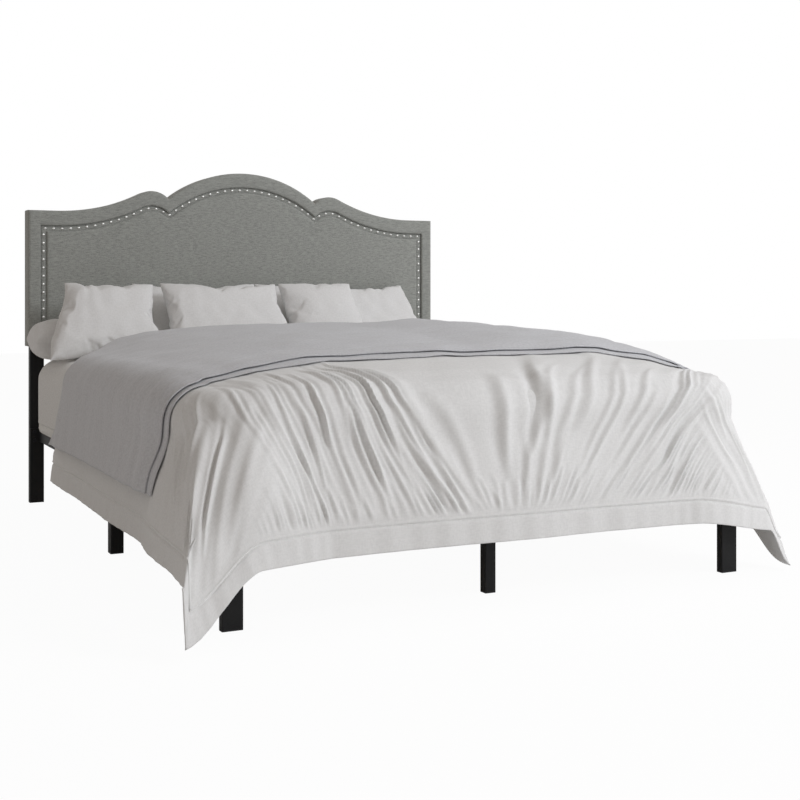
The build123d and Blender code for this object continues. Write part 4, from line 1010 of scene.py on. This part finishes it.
def head_edge(across):
    """Distance of the bedding's head edge: it draws back over the mattress's side edges."""
    out = np.abs(across)
    eased = 1 - EASE_SHARE * smooth_step(out, *DRAWN_EASE)
    return DUVET_HEAD + HEAD_DRAWN * smooth_step(out, *DRAWN_FROM) * eased


def laid(across, along, folds):
    """Cloth draped, relaxed with its edges kept, then pushed clear of the sheet, and its normals."""
    keep = np.zeros(across.shape)
    keep[0] = keep[-1] = 1
    keep[:, 0] = keep[:, -1] = 1
    rest = over_sheet(relaxed(draped(across, along, folds), RELAX_ROUNDS, keep), SHEET_GAP)
    return rest, normals_of(rest)


def fill_lumps(across, along):
    """The duvet's uneven fill, which the coverlet on it follows."""
    wide = 0.005 * noise(across / 0.22, along / 0.22, 41)
    return wide + 0.0025 * noise(across / 0.10, along / 0.11, 42)


def spread(stops):
    """Numbers that run through the stops with the spacing given for each stretch."""
    parts = []
    for (start, step), (end, _) in zip(stops, stops[1:]):
        parts.append(np.linspace(start, end, max(int(round((end - start) / step)), 1), endpoint=False))
    return np.concatenate(parts + [[stops[-1][0]]])


# Places along the foot's seam, and how far the creases above each lean sideways per metre
LEAN_PLACES = (-1.2, -0.80, -0.55, -0.33, -0.23, -0.09, 0.0, 0.09, 0.25, 0.39, 0.51, 0.70, 0.85, 1.2)
LEANS = (0.0, 0.12, 0.30, 0.32, 0.50, 0.62, 0.0, -0.50, -0.95, -1.05, -1.0, -0.75, -0.5, 0.0)


def seam_place(across, height):
    """Where on the foot's seam a crease that passes through a place starts."""
    start = np.linspace(-1.4, 1.4, 561)
    lean = np.interp(start, LEAN_PLACES, LEANS)
    found = np.empty_like(across)
    for row in range(len(across)):
        rise = float(np.clip(height[row].mean(), 0, 0.45))
        found[row] = np.interp(across[row], np.maximum.accumulate(start - lean * rise), start)
    return found


def strokes(place, height, seed, count, reach, widths, heights, rises):
    """Sum of single creases: each a raised line with a hollow beside it, tapering at its ends."""
    random = np.random.default_rng(seed)
    total = np.zeros_like(place)
    for _ in range(count):
        at = random.uniform(*reach)
        width = random.uniform(*widths)
        low, long = random.uniform(*rises[0]), random.uniform(*rises[1])
        size, bow = random.uniform(*heights), random.uniform(-0.25, 0.25)
        middle = (height - low) / long
        taper = np.clip(4 * middle * (1 - middle), 0, 1)
        off = (place - at - bow * long * (middle - 0.5) ** 2) / width
        near = np.abs(off) < 4
        total += np.where(near, size * taper * (np.exp(-(off**2)) - 0.55 * np.exp(-((off + 1.5) ** 2))), 0)
    return total


class BED_OT_duvet(bpy.types.Operator):
    """Makes the duvet, its flange and its creases"""

    bl_idname = "bed.duvet"
    bl_label = "Duvet"

    def execute(self, context):
        values = context.scene.bed_cloth
        hang = DUVET_SHOULDER - DUVET_HEM
        half, foot = DUVET_HALF + hang, DUVET_FOOT + hang
        step, near = values.grid, 0.012
        seam = half - values.flange
        side = spread([(0, step), (seam - near, 0.4 * step), (seam + near, 0.8 * step), (half, 0)])
        across = np.concatenate([-side[:0:-1], side])
        seam = foot - values.flange
        rows = spread([(DUVET_HEAD, 2 * step), (1.70, 0.6 * step), (seam - near, 0.4 * step),
                       (seam + near, 0.8 * step), (foot, 0)])
        a, rows = np.broadcast_arrays(across, rows[:, None])
        b = rows + (head_edge(a) - DUVET_HEAD) * ((foot - rows) / (foot - DUVET_HEAD)) ** 2
        rest, normal = laid(a, b, values.fold_depth)
        outer = rest + normal * self.wrinkles(a, b, half, foot, values)[..., None]
        to_hem = np.minimum(half - np.abs(a), foot - b)
        over = np.minimum(DUVET_HALF - np.abs(a), DUVET_FOOT - b)
        thick = FLANGE_THICK + FILL_THICK * smooth_step(to_hem, values.flange, values.flange + FILL_RUN)
        inner = over_sheet(rest - normal * thick[..., None], LINING_GAP)
        sheet, inside = sheet_height(inner[..., 0], FACE_Y - inner[..., 1])
        under = np.minimum(sheet + 0.0015, rest[..., 2] - 0.004)
        top = smooth_step(over, 0.03, 0.10)
        inner[..., 2] = np.where(inside > 0, np.maximum(inner[..., 2], under), inner[..., 2])
        inner[..., 2] += (under - inner[..., 2]) * top
        flat = np.stack([a, b], axis=-1)
        cotton = cotton_material("duvet_percale_cotton", "#e1e1e0", "#eaeae9")
        piece = shell("duvet_cloth", outer, inner, cotton, flat)
        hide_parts("duvet")
        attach(piece, "bedding")
        return {"FINISHED"}

    def wrinkles(self, a, b, half, foot, values):
        """Heights over the plain drape: fill, the creases of the foot, side drapes and the seam."""
        to_hem = np.minimum(half - np.abs(a), foot - b)
        seam_in = to_hem - values.flange
        body = smooth_step(seam_in, 0.0, 0.03)

        rise = foot - values.flange - b
        place = seam_place(a, rise)
        on_foot = smooth_step(0.62 - rise, 0.0, 0.25)
        on_foot = on_foot * smooth_step(half - values.flange - np.abs(a), 0.0, 0.12)
        broad = noise(place / 0.055, rise / 0.35, 44) + 0.6 * noise(place / 0.028, rise / 0.22, 45)
        strength = 0.5 + 0.5 * smooth_step(noise(place / 0.2, rise / 0.25, 47), -0.5, 0.4)
        sizes = values.crease_depth
        foot_creases = 0.42 * sizes * broad * strength
        for seed, count, reach, widths, shares, rises in FOOT_STROKES:
            heights = [share * sizes for share in shares]
            foot_creases += strokes(place, rise, seed, count, reach, widths, heights, rises)

        # Along a corner's ridge, from its shoulder to its tip; each hand's creases are found 3 m apart
        core_x, core_d = DUVET_HALF - CORNER_ROUND, DUVET_FOOT - CORNER_ROUND
        dx, dd = np.abs(a) - core_x, b - core_d
        off_ridge, down_ridge = (dd - dx) * math.sqrt(0.5), (dd + dx) * math.sqrt(0.5)
        ridge_zone = smooth_step(down_ridge, 0.15, 0.32) * smooth_step(0.30 - np.abs(off_ridge), 0.0, 0.14)
        corner = 0.8 * sizes * noise(off_ridge / 0.035 + np.sign(a) * 9, down_ridge / 0.24, 53)
        for seed, reach, shares in RIDGE_STROKES:
            heights = [share * sizes for share in shares]
            corner += strokes(off_ridge + 3 * np.sign(a), down_ridge, seed, 9, reach, (0.006, 0.010), heights,
                              ((0.14, 0.3), (0.18, 0.32)))

        side_zone = smooth_step(np.abs(a), DUVET_HALF - 0.12, DUVET_HALF + 0.05)
        side_zone = side_zone * smooth_step(1.9 - b, 0, 0.2)
        sides = 0.6 * sizes * noise(b / 0.10, a / 0.5, 56) + 0.3 * sizes * noise(b / 0.045, a / 0.25, 57)

        stitched = 0.0020 * np.exp(-((seam_in / 0.0022) ** 2))
        seam = stitched - 0.0030 * np.exp(-(((seam_in + 0.006) / 0.003) ** 2))
        along_hem = np.where(half - np.abs(a) < foot - b, b, a)
        pucker = noise(along_hem / 0.05, to_hem / 0.5, 48)
        pucker = pucker + 0.6 * noise(along_hem / 0.11 + 3, to_hem / 0.5, 49)
        flange = 0.0028 * pucker * smooth_step(-seam_in, 0.0, 0.012)
        creased = foot_creases * on_foot * (1 - ridge_zone) + corner * ridge_zone + sides * side_zone
        return (fill_lumps(a, b) + creased) * body + seam + flange


class BED_OT_coverlet(bpy.types.Operator):
    """Makes the coverlet, laid double over the duvet"""

    bl_idname = "bed.coverlet"
    bl_label = "Coverlet"

    def execute(self, context):
        values = context.scene.bed_cloth
        cotton = cotton_material("coverlet_washed_cotton", "#c6c7ca", "#d6d7da")
        hang = DUVET_SHOULDER - COVERLET_HEM
        for name, rise, foot, seed in (
            ("coverlet_lower_layer", 0.004, COVERLET_FOOT, 61),
            ("coverlet_upper_layer", 0.010, COVERLET_FOOT - COVERLET_STEP, 62),
        ):
            half = DUVET_HALF + hang
            side = spread([(0, 0.010), (0.6, 0.007), (half, 0)])
            across = np.concatenate([-side[:0:-1], side])
            along = spread([(0, 0.006), (0.85, 0.004), (1.0, 0)])
            a = np.broadcast_to(across, (len(along), len(across)))
            head = head_edge(a)
            wander = 0.012 * noise(a / 0.30, a * 0 + 0.5, seed) + 0.004 * noise(a / 0.07, a * 0 + 1.5, seed)
            b = head + (foot + wander - head) * along[:, None]
            rest, normal = laid(a, b, values.fold_depth)
            lumps = fill_lumps(a, b)
            soft = 0.004 * (1 + noise(a / 0.5 + 5, (b + 0.10 * a) / 0.075, 63))
            ridges = creases(a / 0.4, (b + 0.16 * a) / 0.055, 64, 3.0)
            soft += 0.003 * ridges * smooth_step(b, 0.7, 1.5)
            pressed = b - PRESSED_CREASE - 0.02 * noise(a / 0.4, a * 0, 67)
            soft += 0.0035 * smooth_step(pressed, -0.006, 0.006) * smooth_step(-a, 0.25, 0.7)
            drape = 0.004 * (1 + noise(b / 0.09, a / 0.5, 65)) * smooth_step(np.abs(a), 0.6, 0.9)
            away = 0.003 * np.maximum(noise(a / 0.13, a * 0 + 3, 66), 0)
            lift = rise + lumps * 0.9 + soft * (0.5 + rise / 0.01 * 0.5) + drape
            past_upper = b - wander - COVERLET_FOOT + COVERLET_STEP
            settled = smooth_step(past_upper, -0.05, 0)
            lift += (1.2 * rise - 0.002 + lumps * 0.9 + away - lift) * settled
            outer = rest + normal * (lift + COVERLET_THICK)[..., None]
            inner = rest + normal * lift[..., None]
            flat = np.stack([a, b], axis=-1)
            piece = shell(name, outer, inner, cotton, flat)
            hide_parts("coverlet")
            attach(piece, "bedding")
        return {"FINISHED"}


def places_of(piece):
    """The places of a piece's vertices."""
    points = np.empty(len(piece.data.vertices) * 3, np.float32)
    piece.data.vertices.foreach_get("co", points)
    return points.reshape(-1, 3).astype(float)


def put_places(piece, points):
    """Moves a piece's vertices."""
    piece.data.vertices.foreach_set("co", np.asarray(points, np.float32).ravel())
    piece.data.update()


def weld(piece, distance):
    """Merges the vertices of a piece that lie together."""
    work = bmesh.new()
    work.from_mesh(piece.data)
    bmesh.ops.remove_doubles(work, verts=work.verts, dist=distance)
    work.to_mesh(piece.data)
    work.free()


def blow_up(piece, cap):
    """Blows a sewn case up as cloth, with no gravity; no point moves further than the cap."""
    scene = bpy.context.scene
    start = places_of(piece)
    work = piece.modifiers.new("cloth", "CLOTH")
    work.settings.quality = 6
    work.settings.mass = 0.2
    work.settings.tension_stiffness = work.settings.compression_stiffness = 15
    work.settings.shear_stiffness = 5
    work.settings.bending_stiffness = 0.1
    work.settings.use_pressure = True
    work.settings.uniform_pressure_force = 4.0
    work.settings.shrink_min = -0.08
    work.settings.effector_weights.gravity = 0
    work.collision_settings.use_collision = False
    for step in range(1, PILLOW_FRAMES + 1):
        scene.frame_set(step)
    piece.data = plain_mesh(piece)
    scene.frame_set(1)
    move = places_of(piece) - start
    moved = np.linalg.norm(move, axis=1, keepdims=True)
    put_places(piece, start + move * np.minimum(1, cap / np.maximum(moved, 1e-9)))


class BED_OT_pillows(bpy.types.Operator):
    """Makes the six pillows"""

    bl_idname = "bed.pillows"
    bl_label = "Pillows"

    def execute(self, context):
        cotton = cotton_material("pillow_percale_cotton", "#e4e4e3", "#ededed")
        for name, body, width, height, thick, lean, drawn, seed in (
            ("pillow_flat_left", "back_pillows", 0.380, 0.220, 0.150, 0, (0.0, 0.0), 71),
            ("pillow_back_left", "back_pillows", 0.480, 0.335, 0.120, 52, (0.0, 0.0), 72),
            ("pillow_back_right", "back_pillows", 0.680, 0.335, 0.120, 52, (0.0, 0.055), 73),
            ("pillow_front_left", "front_pillows", 0.410, 0.335, 0.120, 52, (0.085, 0.01), 74),
            ("pillow_front_centre", "front_pillows", 0.470, 0.335, 0.120, 52, (0.01, 0.02), 75),
            ("pillow_front_right", "front_pillows", 0.310, 0.335, 0.120, 52, (0.0, 0.015), 76),
        ):
            low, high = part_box(name)
            piece = self.pillow(name.replace("pillow", "cushion"), width, height, thick, drawn, seed, cotton)
            turn = math.radians(lean)
            points = places_of(piece)
            cosine, sine = math.cos(turn), math.sin(turn)
            points = points @ np.array([(1, 0, 0), (0, cosine, sine), (0, -sine, cosine)])
            points = points + np.array((low + high) / 2)
            put_places(piece, points)
            smoother = piece.modifiers.new("smoother", "SUBSURF")
            smoother.levels = smoother.render_levels = 1
            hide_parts(name)
            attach(piece, body)
        return {"FINISHED"}

    def pillow(self, name, width, height, thick, drawn, seed, cotton):
        """Two panels sewn round the edge and filled, lying flat at the origin."""
        cols, rows = int(width / PILLOW_GRID), int(height / PILLOW_GRID)
        u = np.linspace(-1, 1, cols)[None]
        v = np.linspace(-1, 1, rows)[:, None]
        u, v = np.broadcast_arrays(u, v)
        x, y = width / 2 * u, height / 2 * v
        blunt = FLAT_PILLOW_CURVE if "flat" in name else PILLOW_CURVE
        full = ((1 - np.abs(u) ** blunt) * (1 - np.abs(v) ** PILLOW_CURVE)) ** 0.5
        edge = 1 - full
        sheets = []
        for hand in (1, -1):
            pucker = 0.004 * noise(u * width / 0.045, v * height / 0.045, seed + (hand > 0)) * edge**2
            dents = 0.006 * noise(u * width / 0.11, v * height / 0.12, seed + 5 + (hand > 0)) * full
            z = hand * (thick / 2 * full + (pucker + dents) * (full > 0))
            sheets.append(np.stack([x, y, z], axis=-1))
        flat = np.stack([u * width / 2, v * height / 2], axis=-1)
        piece = shell(name, sheets[0], sheets[1] - (0, 0, 0.0002), cotton, flat)
        weld(piece, 0.0008)
        blow_up(piece, PILLOW_CAP)
        points = places_of(piece)
        low, high = points.min(axis=0), points.max(axis=0)
        points = (points - (low + high) / 2) * (np.array([width, height, thick]) / (high - low))
        top = smooth_step(points[:, 1] / height, -0.3, 0.5)
        for hand, inward in zip((-1, 1), drawn):
            points[:, 0] -= hand * inward * top * smooth_step(hand * points[:, 0] / width, 0.0, 0.5)
        put_places(piece, points)
        return piece


class BED_PT_pieces(bpy.types.Panel):
    """Lists the pieces of the bed"""

    bl_idname = "BED_PT_pieces"
    bl_label = "Upholstered bed"
    bl_space_type = "VIEW_3D"
    bl_region_type = "UI"
    bl_category = "Bed"

    def draw(self, context):
        for piece in OPERATORS:
            self.layout.operator(piece.bl_idname)
        for group in (context.scene.bed_board, context.scene.bed_cloth, context.scene.bed_stage):
            for key in group.bl_rna.properties.keys():
                if key not in ("rna_type", "name"):
                    self.layout.prop(group, key)


OPERATORS = (
    BED_OT_stage, BED_OT_frame, BED_OT_board_cover, BED_OT_nails, BED_OT_mattress, BED_OT_duvet,
    BED_OT_coverlet, BED_OT_pillows,
)
GROUPS = {"bed_board": BedBoardSettings, "bed_cloth": BedClothSettings, "bed_stage": BedStageSettings}


def register():
    """Registers the settings, the operators and the panel."""
    for name, group in GROUPS.items():
        bpy.utils.register_class(group)
        setattr(bpy.types.Scene, name, bpy.props.PointerProperty(type=group))
    for kind in (*OPERATORS, BED_PT_pieces):
        bpy.utils.register_class(kind)


def unregister():
    """Removes what register added."""
    for kind in (BED_PT_pieces, *OPERATORS[::-1]):
        bpy.utils.unregister_class(kind)
    for name, group in GROUPS.items():
        delattr(bpy.types.Scene, name)
        bpy.utils.unregister_class(group)


def main():
    """Builds the whole bed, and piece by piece."""
    register()
    for piece in OPERATORS:
        group, call = piece.bl_idname.split(".")
        getattr(getattr(bpy.ops, group), call)()


if __name__ == "__main__":
    main()
